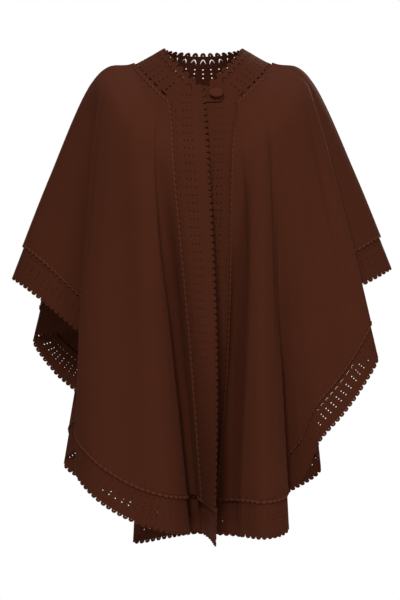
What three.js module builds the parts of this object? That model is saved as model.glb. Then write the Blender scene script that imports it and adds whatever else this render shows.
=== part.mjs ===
import * as THREE from 'three';

// Knitted wool cape with a pierced, scalloped border, shown as it hangs when worn.
// Millimetres, +Z up, the front faces -Y. "Right" and "left" are the wearer's.
// The origin lies in the neck opening at the height of the shoulder seams.

// Cloth
const CLOTH_THICKNESS = 2;
const SEAM_GAP = 0.3;
const LAYER_STEP = CLOTH_THICKNESS + SEAM_GAP;
const BORDER_WIDTH = 72;
const SEAM_LAP = 8;
const SEWN_EDGE_GAP = 0.18;
const FRONT_LAP_LIFT = 3.2;
const FRONT_LAP_EASE = 120;
const HEM_TUCK_EASE = 70;

// Neck edge: half width, depth to the front and back, height at the shoulder, drop of the V
const NECK = { halfWidth: 74, front: 92, back: 76, shoulderZ: 35, drop: 85, dropPower: 1.4 };

// Seam of the neck border with the body: same sizes, one ring farther out
const YOKE = { halfWidth: 137, front: 108, back: 104, shoulderZ: 2, drop: 114, backDrop: 34, backPower: 0.8 };

// How far the shoulder swells out and up for each millimetre of puff in the fold table
const SHOULDER_SWELL = { out: 0.45, up: 0.9 };

// Scalloped edges
const HEM_SCALLOP = { pitch: 12, depth: 3.8, profile: [[0, 1], [0.26, 0.1], [0.74, 0.1]] };
const NECK_SCALLOP = { pitch: 15.8, depth: 5.5, profile: [[0, 1], [0.15, 0.35], [0.36, 0], [0.64, 0], [0.85, 0.35]] };
const EDGE_STRIP = 14;

// Button and its tab
const BUTTON = { x: 24, z: -65, radius: 12.6, backRadius: 9.6, edgeHeight: 2.4, crownHeight: 5, standOff: 0.7, facets: 24 };
const TAB = { startX: -4, endX: 38, z: -68, halfHeight: 11.5, offset: 0.9, endTurn: 80, endSteps: 5, stepsAcross: 4 };
const SEARCH_START = { fromLeftEdge: 30, down: 30 };

// Folds of the hanging cloth, one row each, from the right front edge round the back
// to the left front edge. neck and yoke: compass angle in degrees where the fold line
// leaves the neck edge and crosses the neck border's seam (0 = front, 90 = right side).
// breakX/Y/Z: where it leaves the body and starts to hang. puff: rise of the shoulder
// between seam and break. bowX/bowY: sideways bow of the hanging length.
// hemX/Y/Z: where it meets the hem.
const FOLDS = [
  ['name', 'neck', 'yoke', 'breakX', 'breakY', 'breakZ', 'puff', 'bowX', 'bowY', 'hemX', 'hemY', 'hemZ'],
  ['right front edge', -2, -3, 12, -130, -190, 0, 6, -7, 18, -195, -890],
  ['right band seam', 16, 25, -53, -134, -185, 0, -9, -9, 3, -134, -879],
  ['right front valley', 22, 35, -80, -130, -178, 0, -6, 4, -12, -108, -874],
  ['right valley wall', 26, 40, -92, -131, -165, 0, 0, -2, -26, -158, -871],
  ['right front crest', 31, 46, -112, -125, -152, 2, 0, -3, -56, -192, -866],
  ['right panel', 43, 57, -142, -110, -122, 5, 0, 0, -142, -188, -839],
  ['right panel side', 58, 70, -168, -86, -86, 8, -4, 0, -208, -172, -795],
  ['right arm fold edge', 72, 80, -188, -60, -60, 10, -10, -4, -236, -135, -759],
  ['right arm fold back', 75, 82, -192, -52, -57, 10, -6, 0, -205, -82, -707],
  ['right arm fold root', 78, 84, -196, -44, -52, 11, 0, 0, -135, -30, -620],
  ['right arm fold front', 81, 86, -201, -32, -45, 12, 0, 0, -180, -30, -547],
  ['right cuff', 84, 88, -206, -22, -40, 13, 0, 0, -229, -60, -509],
  ['right sleeve front', 87, 89, -208, -12, -36, 13, -3, 0, -309, -44, -444],
  ['right sleeve turn', 88.5, 89.6, -209, -5, -34, 13, -4, 0, -345, -22, -418],
  ['right arm tip', 90, 90.3, -210, 0, -33, 13, -5, 0, -365, 0, -405],
  ['right sleeve back', 94, 92, -208, 14, -36, 13, -3, 0, -305, 46, -432],
  ['right side valley', 100, 96, -208, 30, -42, 12, 0, 0, -240, 50, -502],
  ['right back fold 1', 107, 101, -203, 48, -52, 10, -6, 0, -335, 112, -525],
  ['right back slope', 113, 107, -193, 64, -62, 8, -4, 0, -293, 122, -588],
  ['right back slope end', 119, 113, -182, 75, -72, 6, 0, 0, -242, 95, -632],
  ['right back valley 2', 125, 120, -170, 84, -82, 5, 0, 0, -202, 68, -692],
  ['right back fold 2', 134, 130, -152, 95, -94, 4, -4, 4, -277, 148, -768],
  ['right back valley 3', 145, 142, -122, 104, -108, 3, 0, 0, -108, 92, -870],
  ['right back fold 3', 156, 154, -92, 110, -118, 2, 0, 4, -138, 158, -928],
  ['right of centre back', 167, 167, -50, 113, -122, 0, 0, 0, -68, 172, -920],
  ['centre back', 180, 180, 0, 112, -122, 0, 0, 0, -10, 138, -907],
  ['left of centre back', 193, 193, 50, 113, -122, 0, 0, 0, 58, 172, -914],
  ['left back fold 3', 204, 206, 92, 110, -118, 2, 0, 4, 152, 160, -914],
  ['left back valley 3', 215, 218, 122, 104, -108, 3, 0, 0, 128, 95, -852],
  ['left back fold 2', 226, 230, 152, 95, -94, 4, 4, 4, 234, 140, -778],
  ['left back valley 2', 235, 240, 170, 84, -82, 5, 0, 0, 180, 80, -692],
  ['left back slope', 241, 247, 182, 75, -72, 6, 0, 0, 225, 108, -612],
  ['left back fold 1', 249, 255, 198, 58, -58, 9, 4, 0, 280, 115, -502],
  ['left side valley', 259, 264, 207, 32, -44, 12, 0, 0, 245, 52, -470],
  ['left sleeve back', 266, 268, 207, 14, -37, 13, 4, 0, 302, 44, -410],
  ['left arm tip', 270, 270, 208, 0, -35, 13, 5, 0, 360, 0, -386],
  ['left sleeve front', 273, 271, 207, -12, -37, 13, 4, 0, 329, -35, -404],
  ['left cuff', 276, 272, 205, -20, -40, 13, 3, 0, 302, -48, -418],
  ['left arm fold front', 280, 275, 201, -28, -45, 12, 0, 0, 215, -28, -472],
  ['left arm fold root', 284, 278, 200, -36, -50, 11, 0, 0, 240, -48, -547],
  ['left arm fold back', 287, 280, 199, -42, -52, 10, 0, 0, 290, -85, -562],
  ['left arm fold edge', 290, 282, 197, -48, -56, 10, 6, -4, 322, -120, -550],
  ['left panel side', 302, 292, 182, -74, -76, 8, 4, 0, 288, -142, -612],
  ['left panel', 312, 301, 165, -92, -98, 6, 4, 4, 254, -142, -658],
  ['left panel inner', 322, 309, 150, -105, -120, 4, 2, 2, 214, -138, -704],
  ['left panel slope', 328, 314, 138, -113, -134, 3, 0, 0, 184, -124, -768],
  ['left front valley', 332, 318, 128, -120, -145, 2, 0, 0, 148, -104, -817],
  ['left ridge side', 335, 321, 119, -125, -150, 1, 0, -2, 156, -152, -866],
  ['left front ridge', 338, 324, 100, -131, -160, 0, 0, -6, 111, -192, -876],
  ['left ridge inner', 341, 328, 80, -131, -170, 0, 2, -6, 64, -158, -875],
  ['left centre valley', 343, 331, 66, -130, -178, 0, 2, 4, 36, -104, -881],
  ['left band seam', 345, 334, 52, -129, -185, 0, 9, 0, 16, -92, -880],
  ['left front edge', 365, 364, -10, -118, -190, 0, -6, -10, -46, -80, -880],
];

// How finely the solids follow the folds
const COLUMNS_PER_FOLD = 2;
const NARROW_FOLD = 32;
const HANGING_ROWS = [0.06, 0.13, 0.2, 0.28, 0.4, 0.58, 0.8];
const RAY_SAMPLES = 72;

const COLOURS = { body: 0x4a2519, border: 0x482318, button: 0x4d281b };

const radians = (degrees) => degrees * Math.PI / 180;
const clamp = (value, low, high) => Math.min(high, Math.max(low, value));
const ease = (t) => { const c = clamp(t, 0, 1); return c * c * (3 - 2 * c); };

// Smooth curve through knots: position of value q, all columns of the rows at once
function curveThrough(knots, rows, q) {
  const last = knots.length - 1;
  let i = 0;
  while (i < last - 1 && q > knots[i + 1]) i += 1;
  const slope = (k, c) => {
    const rate = (a) => (rows[a + 1][c] - rows[a][c]) / (knots[a + 1] - knots[a]);
    if (k === 0) return rate(0);
    if (k === last) return rate(last - 1);
    const before = knots[k] - knots[k - 1];
    const after = knots[k + 1] - knots[k];
    return (rate(k - 1) * after + rate(k) * before) / (before + after);
  };
  const width = knots[i + 1] - knots[i];
  const t = (q - knots[i]) / width;
  const startPull = t * (1 - t) * (1 - t) * width;
  const endPull = t * t * (t - 1) * width;
  const endShare = t * t * (3 - 2 * t);
  return rows[i].map((value, c) => value * (1 - endShare) + rows[i + 1][c] * endShare
    + slope(i, c) * startPull + slope(i + 1, c) * endPull);
}

// Fold table as numbers, and its girth: distance along the hem from the right front edge
const foldNames = FOLDS.slice(1).map((row) => row[0]);
const foldRows = FOLDS.slice(1).map((row) => row.slice(1));
const foldColumn = (name) => FOLDS[0].indexOf(name) - 1;
const hemOf = (row) => ['hemX', 'hemY', 'hemZ'].map((name) => row[foldColumn(name)]);
const foldGirth = [0];
for (let i = 1; i < foldRows.length; i += 1) {
  const step = new THREE.Vector3(...hemOf(foldRows[i])).distanceTo(new THREE.Vector3(...hemOf(foldRows[i - 1])));
  foldGirth.push(foldGirth[i - 1] + step);
}
const girthOf = (name) => foldGirth[foldNames.indexOf(name)];
const GIRTH_END = foldGirth[foldGirth.length - 1];

// Rings the fold lines cross near the neck
function ringPoint(ring, degrees, height) {
  const depth = Math.cos(radians(degrees)) > 0 ? ring.front : ring.back;
  return new THREE.Vector3(-ring.halfWidth * Math.sin(radians(degrees)), -depth * Math.cos(radians(degrees)), height);
}

const fromFront = (degrees) => Math.min(Math.abs(degrees), Math.abs(360 - degrees));

function neckPoint(degrees) {
  const frontness = clamp((90 - fromFront(degrees)) / 90, 0, 1);
  return ringPoint(NECK, degrees, NECK.shoulderZ - NECK.drop * frontness ** NECK.dropPower);
}

function yokePoint(degrees) {
  const side = (90 - fromFront(degrees)) / 90;
  const drop = side > 0 ? YOKE.drop * side : YOKE.backDrop * (-side) ** YOKE.backPower;
  return ringPoint(YOKE, degrees, YOKE.shoulderZ - drop);
}

// The right front laps over the left one, so the two stand apart near the centre
function lapLift(girth) {
  const right = 1 - ease(girth / FRONT_LAP_EASE);
  const left = 1 - ease((GIRTH_END - girth) / FRONT_LAP_EASE);
  return FRONT_LAP_LIFT * (right - left);
}

// One fold line: neck edge, border seam, shoulder, break, half-way down, hem
function makeRay(girth) {
  const row = curveThrough(foldGirth, foldRows, girth);
  const at = (name) => row[foldColumn(name)];
  const neck = neckPoint(at('neck'));
  const yoke = yokePoint(at('yoke'));
  const breakPoint = new THREE.Vector3(at('breakX'), at('breakY'), at('breakZ'));
  const hem = new THREE.Vector3(...hemOf(row));
  const outward = new THREE.Vector3(yoke.x + breakPoint.x, yoke.y + breakPoint.y, 0).normalize();
  const shoulder = yoke.clone().add(breakPoint).multiplyScalar(0.5);
  shoulder.addScaledVector(outward, SHOULDER_SWELL.out * at('puff'));
  shoulder.z += SHOULDER_SWELL.up * at('puff');
  const middle = breakPoint.clone().add(hem).multiplyScalar(0.5);
  middle.x += at('bowX');
  middle.y += at('bowY');
  const lift = lapLift(girth);
  const stations = [neck, yoke, shoulder, breakPoint, middle, hem];
  for (const point of stations.slice(0, 5)) point.y -= lift;
  const knots = [0];
  for (let i = 1; i < stations.length; i += 1) {
    knots.push(knots[i - 1] + Math.sqrt(stations[i].distanceTo(stations[i - 1])));
  }
  const rows = stations.map((point) => point.toArray());
  const points = [];
  const lengths = [0];
  for (let i = 0; i <= RAY_SAMPLES; i += 1) {
    points.push(new THREE.Vector3(...curveThrough(knots, rows, knots[5] * i / RAY_SAMPLES)));
    if (i > 0) lengths.push(lengths[i - 1] + points[i].distanceTo(points[i - 1]));
  }
  return { points, lengths, length: lengths[RAY_SAMPLES] };
}

const rayCache = new Map();
function rayAt(girth) {
  const key = girth.toFixed(3);
  if (!rayCache.has(key)) rayCache.set(key, makeRay(girth));
  return rayCache.get(key);
}

// Point of the draped surface: girth along the hem, distance down from the neck edge
function drapePoint(girth, down) {
  const ray = rayAt(girth);
  let i = 0;
  while (i < RAY_SAMPLES - 1 && down > ray.lengths[i + 1]) i += 1;
  const share = (down - ray.lengths[i]) / (ray.lengths[i + 1] - ray.lengths[i]);
  return ray.points[i].clone().lerp(ray.points[i + 1], share);
}

// Columns: sharper folds get more of them; rows: seams first, then the hanging length
const extraGirths = [
  EDGE_STRIP, girthOf('right band seam') + SEAM_LAP,
  GIRTH_END - EDGE_STRIP, girthOf('left band seam') - SEAM_LAP,
];
const columns = [...extraGirths];
for (let i = 0; i < foldGirth.length - 1; i += 1) {
  const steps = foldGirth[i + 1] - foldGirth[i] > NARROW_FOLD ? COLUMNS_PER_FOLD : 1;
  for (let k = 0; k < steps; k += 1) columns.push(foldGirth[i] + (foldGirth[i + 1] - foldGirth[i]) * k / steps);
}
columns.push(GIRTH_END);
columns.sort((a, b) => a - b);

const NECK_SEAM_ROW = 3;
const HEM_SEAM_ROW = NECK_SEAM_ROW + HANGING_ROWS.length + 1;
const LAST_ROW = HEM_SEAM_ROW + 3;
function rowDistance(row, girth) {
  const length = rayAt(girth).length;
  const near = [0, EDGE_STRIP, BORDER_WIDTH - SEAM_LAP, BORDER_WIDTH];
  if (row <= NECK_SEAM_ROW) return near[row];
  if (row >= HEM_SEAM_ROW) return length - [BORDER_WIDTH, BORDER_WIDTH - SEAM_LAP, EDGE_STRIP, 0][row - HEM_SEAM_ROW];
  const share = HANGING_ROWS[row - NECK_SEAM_ROW - 1];
  return BORDER_WIDTH + (length - 2 * BORDER_WIDTH) * share;
}

const columnAt = (girth) => columns.findIndex((value) => Math.abs(value - girth) < 0.01);
const LAST_COLUMN = columns.length - 1;
const RIGHT_SEAM = columnAt(girthOf('right band seam'));
const LEFT_SEAM = columnAt(girthOf('left band seam'));
const RIGHT_TIP = columnAt(girthOf('right arm tip'));
const LEFT_TIP = columnAt(girthOf('left arm tip'));
// The border is joined behind each shoulder, where its back length meets its front lengths
const RIGHT_NECK_JOIN = columnAt(girthOf('right back fold 1'));
const LEFT_NECK_JOIN = columnAt(girthOf('left back fold 1'));

// Direction square to the cloth at a grid corner: the mean of the facets on both sides of it
const gridPoint = (column, row) => drapePoint(columns[column], rowDistance(row, columns[column]));
const normalCache = new Map();
function gridNormal(column, row) {
  const key = `${column},${row}`;
  if (!normalCache.has(key)) {
    const here = gridPoint(column, row);
    const along = gridPoint(column, Math.min(row + 1, LAST_ROW)).sub(gridPoint(column, Math.max(row - 1, 0)));
    const normal = new THREE.Vector3();
    for (const side of [-1, 1]) {
      const next = column + side;
      if (next < 0 || next > LAST_COLUMN) continue;
      const across = gridPoint(next, row).sub(here).multiplyScalar(side);
      normal.add(across.cross(along).normalize());
    }
    normalCache.set(key, normal.normalize());
  }
  return normalCache.get(key).clone();
}

// Scallop positions along an edge: [distance along the edge, share of the full depth]
function scallopKnots(total, scallop) {
  const count = Math.round(total / scallop.pitch);
  const knots = [];
  for (let k = 0; k < count; k += 1) {
    for (const [phase, depth] of scallop.profile) knots.push([(k + phase) * total / count, depth]);
  }
  knots.push([total, 1]);
  return knots;
}

function scallopDepth(knots, distance) {
  let i = 0;
  while (i < knots.length - 2 && distance > knots[i + 1][0]) i += 1;
  const share = (distance - knots[i][0]) / (knots[i + 1][0] - knots[i][0]);
  return knots[i][1] + (knots[i + 1][1] - knots[i][1]) * clamp(share, 0, 1);
}

// An outer edge of the cape: its own length is measured in small steps along the grid's
// stops, so that the scallops keep an even pitch. Each scallop cuts in towards inwardAt.
function makeEdge(name, stops, placeAt, inwardAt, scallop) {
  const steps = 6;
  const walk = [{ value: stops[0], distance: 0 }];
  let before = placeAt(stops[0]);
  for (let i = 0; i < stops.length - 1; i += 1) {
    for (let k = 1; k <= steps; k += 1) {
      const value = stops[i] + (stops[i + 1] - stops[i]) * k / steps;
      const here = placeAt(value);
      walk.push({ value, distance: walk[walk.length - 1].distance + here.point.distanceTo(before.point) });
      before = here;
    }
  }
  const total = walk[walk.length - 1].distance;
  const knots = scallopKnots(total, scallop);
  const valueAt = (distance) => {
    let i = 0;
    while (i < walk.length - 2 && distance > walk[i + 1].distance) i += 1;
    const share = (distance - walk[i].distance) / (walk[i + 1].distance - walk[i].distance);
    return walk[i].value + (walk[i + 1].value - walk[i].value) * share;
  };
  const cut = (value, depthShare) => {
    const place = placeAt(value);
    const inward = inwardAt(value).sub(place.point).normalize();
    place.point.addScaledVector(inward, scallop.depth * depthShare);
    return place;
  };
  const distanceOf = (value) => walk[Math.round((stops.indexOf(value)) * steps)].distance;
  return {
    name,
    atStop: (value) => cut(value, scallopDepth(knots, distanceOf(value))),
    between: (from, to) => knots
      .map(([distance, depth]) => ({ value: valueAt(distance), depth }))
      .filter(({ value }) => value > from + 1e-6 && value < to - 1e-6)
      .map(({ value, depth }) => cut(value, depth)),
  };
}

const rowNumbers = Array.from({ length: LAST_ROW + 1 }, (unused, row) => row);
function between(values, position) {
  const i = clamp(Math.floor(position), 0, values.length - 2);
  return values[i] + (values[i + 1] - values[i]) * (position - i);
}
function rowAt(position, girth) {
  const i = clamp(Math.floor(position), 0, LAST_ROW - 1);
  const start = rowDistance(i, girth);
  return start + (rowDistance(i + 1, girth) - start) * (position - i);
}
const columnNumbers = columns.map((unused, column) => column);

// A place on the draped surface by column and row numbers, which may fall between two of them
function gridPlaceAt(column, row) {
  const c = clamp(Math.floor(column), 0, LAST_COLUMN - 1);
  const r = clamp(Math.floor(row), 0, LAST_ROW - 1);
  const girth = between(columns, column);
  const normal = new THREE.Vector3();
  for (const [c2, r2] of [[c, r], [c + 1, r], [c, r + 1], [c + 1, r + 1]]) {
    normal.addScaledVector(gridNormal(c2, r2), (1 - Math.abs(column - c2)) * (1 - Math.abs(row - r2)));
  }
  return { point: drapePoint(girth, rowAt(row, girth)), normal: normal.normalize() };
}

const hemEdge = makeEdge('hem', columnNumbers,
  (column) => gridPlaceAt(column, LAST_ROW), (column) => gridPlaceAt(column, LAST_ROW - 1).point, HEM_SCALLOP);
const neckEdge = makeEdge('neck', columnNumbers,
  (column) => gridPlaceAt(column, 0), (column) => gridPlaceAt(column, 1).point, NECK_SCALLOP);
const rightEdge = makeEdge('right', rowNumbers,
  (row) => gridPlaceAt(0, row), (row) => gridPlaceAt(1, row).point, HEM_SCALLOP);
const leftEdge = makeEdge('left', rowNumbers,
  (row) => gridPlaceAt(LAST_COLUMN, row), (row) => gridPlaceAt(LAST_COLUMN - 1, row).point, HEM_SCALLOP);

// Grid corner of a piece; corners on an outer edge follow its scallops
function gridPlace(column, row) {
  const onSide = column === 0 ? rightEdge : column === LAST_COLUMN ? leftEdge : null;
  const onEnd = row === 0 ? neckEdge : row === LAST_ROW ? hemEdge : null;
  if (onSide) return onSide.atStop(row);
  if (onEnd) return onEnd.atStop(column);
  return gridPlaceAt(column, row);
}

// A cloth piece: a patch of grid cells, moved off the draped surface and given thickness.
// Its sewn columns are drawn back from the seam, towards the column on the side given.
function clothPiece(name, colour, covers, offsetAt, sewnColumns = []) {
  const positions = [];
  const triangles = [];
  const seen = new Map();
  const vertex = (key, place, offset) => {
    if (!seen.has(key)) {
      const middle = place.point.clone().addScaledVector(place.normal, offset);
      const outer = middle.clone().addScaledVector(place.normal, CLOTH_THICKNESS / 2);
      const inner = middle.addScaledVector(place.normal, -CLOTH_THICKNESS / 2);
      seen.set(key, positions.length / 3);
      positions.push(...outer.toArray(), ...inner.toArray());
    }
    return seen.get(key);
  };
  const sewnPlace = (column, row) => {
    const place = gridPlace(column, row);
    const sewn = sewnColumns.find(([seam]) => seam === column);
    if (sewn) {
      const inward = gridPlace(column + sewn[1], row).point.sub(place.point).normalize();
      place.point.addScaledVector(inward, SEWN_EDGE_GAP);
    }
    return place;
  };
  const corner = (column, row) => vertex(`${column},${row}`, sewnPlace(column, row), offsetAt(columns[column]));
  const facet = (a, b, c) => triangles.push(a, c, b, a + 1, b + 1, c + 1);
  const rim = (a, b) => triangles.push(a, b, a + 1, b, b + 1, a + 1);
  const edgeRun = (edge, from, column) => edge.between(from, from + 1).map((place, k) =>
    vertex(`${edge.name},${from},${k}`, place, offsetAt(columns[column])));
  for (let c = 0; c < LAST_COLUMN; c += 1) {
    for (let r = 0; r < LAST_ROW; r += 1) {
      if (!covers(c, r)) continue;
      const corners = [corner(c, r), corner(c, r + 1), corner(c + 1, r + 1), corner(c + 1, r)];
      const runs = [
        c === 0 ? edgeRun(rightEdge, r, 0) : [],
        r + 1 === LAST_ROW ? edgeRun(hemEdge, c, c) : [],
        c + 1 === LAST_COLUMN ? edgeRun(leftEdge, r, LAST_COLUMN).reverse() : [],
        r === 0 ? edgeRun(neckEdge, c, c).reverse() : [],
      ];
      const openSides = [!covers(c - 1, r), !covers(c, r + 1), !covers(c + 1, r), !covers(c, r - 1)];
      const outline = [];
      corners.forEach((start, side) => {
        const run = [start, ...runs[side], corners[(side + 1) % 4]];
        outline.push(...run.slice(0, -1));
        if (openSides[side]) run.slice(1).forEach((next, k) => rim(run[k], next));
      });
      fillCell(outline, corners, runs, facet);
    }
  }
  return solid(name, colour, positions, triangles);
}

// Facets of one cell: plain cells in two, edge cells fanned from their inner corners
function fillCell(outline, corners, runs, facet) {
  const busy = runs.map((run, side) => (run.length > 0 ? side : -1)).filter((side) => side >= 0);
  if (busy.length === 0) {
    facet(corners[0], corners[1], corners[2]);
    facet(corners[0], corners[2], corners[3]);
    return;
  }
  if (busy.length === 2) {
    const hub = corners.find((corner, k) => !busy.includes(k) && !busy.includes((k + 3) % 4));
    const start = outline.indexOf(hub);
    for (let k = 1; k < outline.length - 1; k += 1) {
      facet(hub, outline[(start + k) % outline.length], outline[(start + k + 1) % outline.length]);
    }
    return;
  }
  const side = busy[0];
  const run = [corners[side], ...runs[side], corners[(side + 1) % 4]];
  const far = corners[(side + 2) % 4];
  const near = corners[(side + 3) % 4];
  const half = Math.floor((run.length - 1) / 2);
  for (let k = 0; k < half; k += 1) facet(near, run[k], run[k + 1]);
  facet(near, run[half], far);
  for (let k = half; k < run.length - 1; k += 1) facet(far, run[k], run[k + 1]);
}

function solid(name, colour, positions, triangles) {
  const geometry = new THREE.BufferGeometry();
  geometry.setAttribute('position', new THREE.Float32BufferAttribute(positions, 3));
  geometry.setIndex(triangles);
  geometry.computeVertexNormals();
  const mesh = new THREE.Mesh(geometry, new THREE.MeshStandardMaterial({ color: colour, roughness: 0.9 }));
  mesh.name = name;
  return mesh;
}

// Where the draped surface passes the front position x, z
function findOnDrape(x, z) {
  const guess = { girth: GIRTH_END - SEARCH_START.fromLeftEdge, down: SEARCH_START.down };
  for (let i = 0; i < 12; i += 1) {
    const here = drapePoint(guess.girth, guess.down);
    const across = drapePoint(guess.girth - 1, guess.down).sub(here).negate();
    const along = drapePoint(guess.girth, guess.down + 1).sub(here);
    const determinant = across.x * along.z - across.z * along.x;
    const missX = x - here.x;
    const missZ = z - here.z;
    guess.girth += (missX * along.z - missZ * along.x) / determinant;
    guess.down += (across.x * missZ - across.z * missX) / determinant;
    guess.girth = clamp(guess.girth, GIRTH_END - 200, GIRTH_END);
    guess.down = clamp(guess.down, 1, 200);
  }
  const here = drapePoint(guess.girth, guess.down);
  const across = drapePoint(guess.girth - 4, guess.down).sub(here).negate();
  const along = drapePoint(guess.girth, guess.down + 4).sub(here);
  return { point: here, normal: across.cross(along).normalize() };
}

// The tab: a strip with a rounded end that follows the left front
function buttonTab() {
  const straight = TAB.endX - TAB.halfHeight - TAB.startX;
  const stations = [[TAB.startX, 1], [TAB.startX + straight / 2, 1]];
  for (let k = 0; k <= TAB.endSteps; k += 1) {
    const turn = radians(TAB.endTurn) * k / TAB.endSteps;
    stations.push([TAB.endX + TAB.halfHeight * (Math.sin(turn) - 1), Math.cos(turn)]);
  }
  const positions = [];
  const triangles = [];
  for (const [x, share] of stations) {
    for (let k = 0; k <= TAB.stepsAcross; k += 1) {
      const z = TAB.z + TAB.halfHeight * share * (1 - 2 * k / TAB.stepsAcross);
      const place = findOnDrape(x, z);
      for (const side of [1, -1]) {
        const offset = TAB.offset + side * CLOTH_THICKNESS / 2;
        positions.push(...place.point.clone().addScaledVector(place.normal, offset).toArray());
      }
    }
  }
  const index = (i, k) => 2 * (i * (TAB.stepsAcross + 1) + k);
  const quad = (a, b, c, d) => triangles.push(a, b, c, a, c, d);
  const lastStation = stations.length - 1;
  for (let i = 0; i < lastStation; i += 1) {
    for (let k = 0; k < TAB.stepsAcross; k += 1) {
      quad(index(i, k), index(i, k + 1), index(i + 1, k + 1), index(i + 1, k));
      quad(index(i, k) + 1, index(i + 1, k) + 1, index(i + 1, k + 1) + 1, index(i, k + 1) + 1);
    }
    quad(index(i, 0), index(i + 1, 0), index(i + 1, 0) + 1, index(i, 0) + 1);
    quad(index(i + 1, TAB.stepsAcross), index(i, TAB.stepsAcross),
      index(i, TAB.stepsAcross) + 1, index(i + 1, TAB.stepsAcross) + 1);
  }
  for (let k = 0; k < TAB.stepsAcross; k += 1) {
    quad(index(0, k + 1), index(0, k), index(0, k) + 1, index(0, k + 1) + 1);
    quad(index(lastStation, k), index(lastStation, k + 1), index(lastStation, k + 1) + 1, index(lastStation, k) + 1);
  }
  return solid('button_tab', COLOURS.border, positions, triangles);
}

// The button: a cloth-covered dome standing on the tab
function button() {
  const profile = [[0, 0], [BUTTON.backRadius, 0], [BUTTON.radius, BUTTON.edgeHeight]];
  for (let k = 1; k <= 4; k += 1) {
    const turn = radians(90) * k / 4;
    profile.push([BUTTON.radius * Math.cos(turn),
      BUTTON.edgeHeight + (BUTTON.crownHeight - BUTTON.edgeHeight) * Math.sin(turn)]);
  }
  profile[profile.length - 1][0] = 0;
  const geometry = new THREE.LatheGeometry(profile.map(([x, y]) => new THREE.Vector2(x, y)), BUTTON.facets);
  const material = new THREE.MeshStandardMaterial({ color: COLOURS.button, roughness: 0.85 });
  const mesh = new THREE.Mesh(geometry, material);
  const place = findOnDrape(BUTTON.x, BUTTON.z);
  const rise = TAB.offset + CLOTH_THICKNESS / 2 + BUTTON.standOff;
  mesh.position.copy(place.point).addScaledVector(place.normal, rise);
  mesh.quaternion.setFromUnitVectors(new THREE.Vector3(0, 1, 0), place.normal);
  mesh.name = 'button';
  return mesh;
}

const inHemBand = (row) => row >= HEM_SEAM_ROW && row < LAST_ROW;
const inBody = (row) => row >= NECK_SEAM_ROW - 1 && row < HEM_SEAM_ROW + 1;
const inNeckBand = (row) => row >= 0 && row < NECK_SEAM_ROW;
const inFrontBand = (column) => (column >= 0 && column <= RIGHT_SEAM)
  || (column >= LEFT_SEAM - 1 && column < LAST_COLUMN);
const inBorder = (column, row) => column >= 0 && column < LAST_COLUMN
  && (inNeckBand(row) || (inFrontBand(column) && row >= 0 && row < HEM_SEAM_ROW + 1));
const onTop = () => 0;
const underBody = () => -LAYER_STEP;

// The hem bands lie under the body, and one layer deeper where the front border ends on them
function hemOffset(girth) {
  const fromRight = (girth - girthOf('right band seam') - SEAM_LAP) / HEM_TUCK_EASE;
  const fromLeft = (girthOf('left band seam') - SEAM_LAP - girth) / HEM_TUCK_EASE;
  return -LAYER_STEP * (2 - ease(Math.min(fromRight, fromLeft)));
}

// Where each cut piece lies on the grid
const cuts = {
  frontRight: (column, row) => column >= RIGHT_SEAM && column < RIGHT_TIP && inBody(row),
  frontLeft: (column, row) => column >= LEFT_TIP && column < LEFT_SEAM && inBody(row),
  back: (column, row) => column >= RIGHT_TIP && column < LEFT_TIP && inBody(row),
  borderRight: (column, row) => column < RIGHT_NECK_JOIN && inBorder(column, row),
  borderLeft: (column, row) => column >= LEFT_NECK_JOIN && inBorder(column, row),
  borderBack: (column, row) => column >= RIGHT_NECK_JOIN && column < LEFT_NECK_JOIN && inNeckBand(row),
  hemRight: (column, row) => column >= 0 && column < RIGHT_TIP && inHemBand(row),
  hemLeft: (column, row) => column >= LEFT_TIP && column < LAST_COLUMN && inHemBand(row),
  hemBack: (column, row) => column >= RIGHT_TIP && column < LEFT_TIP && inHemBand(row),
};

// The edges along which each piece is sewn to its neighbour: the grid column, and the side it lies on
const BEFORE = -1;
const AFTER = 1;
const frontRightJoins = [[RIGHT_TIP, BEFORE]];
const frontLeftJoins = [[LEFT_TIP, AFTER]];
const backJoins = [[RIGHT_TIP, AFTER], [LEFT_TIP, BEFORE]];
const borderRightJoins = [[RIGHT_NECK_JOIN, BEFORE]];
const borderLeftJoins = [[LEFT_NECK_JOIN, AFTER]];
const borderBackJoins = [[RIGHT_NECK_JOIN, AFTER], [LEFT_NECK_JOIN, BEFORE]];

const { body, border } = COLOURS;
const group = new THREE.Group();
group.name = 'cape';
group.add(
  clothPiece('front_right', body, cuts.frontRight, onTop, frontRightJoins),
  clothPiece('front_left', body, cuts.frontLeft, onTop, frontLeftJoins),
  clothPiece('back', body, cuts.back, onTop, backJoins),
  clothPiece('neck_and_front_border_right', border, cuts.borderRight, underBody, borderRightJoins),
  clothPiece('neck_and_front_border_left', border, cuts.borderLeft, underBody, borderLeftJoins),
  clothPiece('neck_border_back', border, cuts.borderBack, underBody, borderBackJoins),
  clothPiece('hem_border_right', border, cuts.hemRight, hemOffset, frontRightJoins),
  clothPiece('hem_border_left', border, cuts.hemLeft, hemOffset, frontLeftJoins),
  clothPiece('hem_border_back', border, cuts.hemBack, hemOffset, backJoins),
  buttonTab(),
  button(),
);

export default group;
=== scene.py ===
# Knitted wool cape, open in front, with a pierced and scalloped border round the neck,
# fronts and hem, and one covered button on a neck tab. It hangs in its worn form.
# Sizes are in millimetres until a mesh is made. "Right" and "left" are the wearer's.
import math

import bpy
import numpy as np
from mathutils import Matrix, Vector, kdtree
from mathutils.geometry import delaunay_2d_cdt


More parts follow.
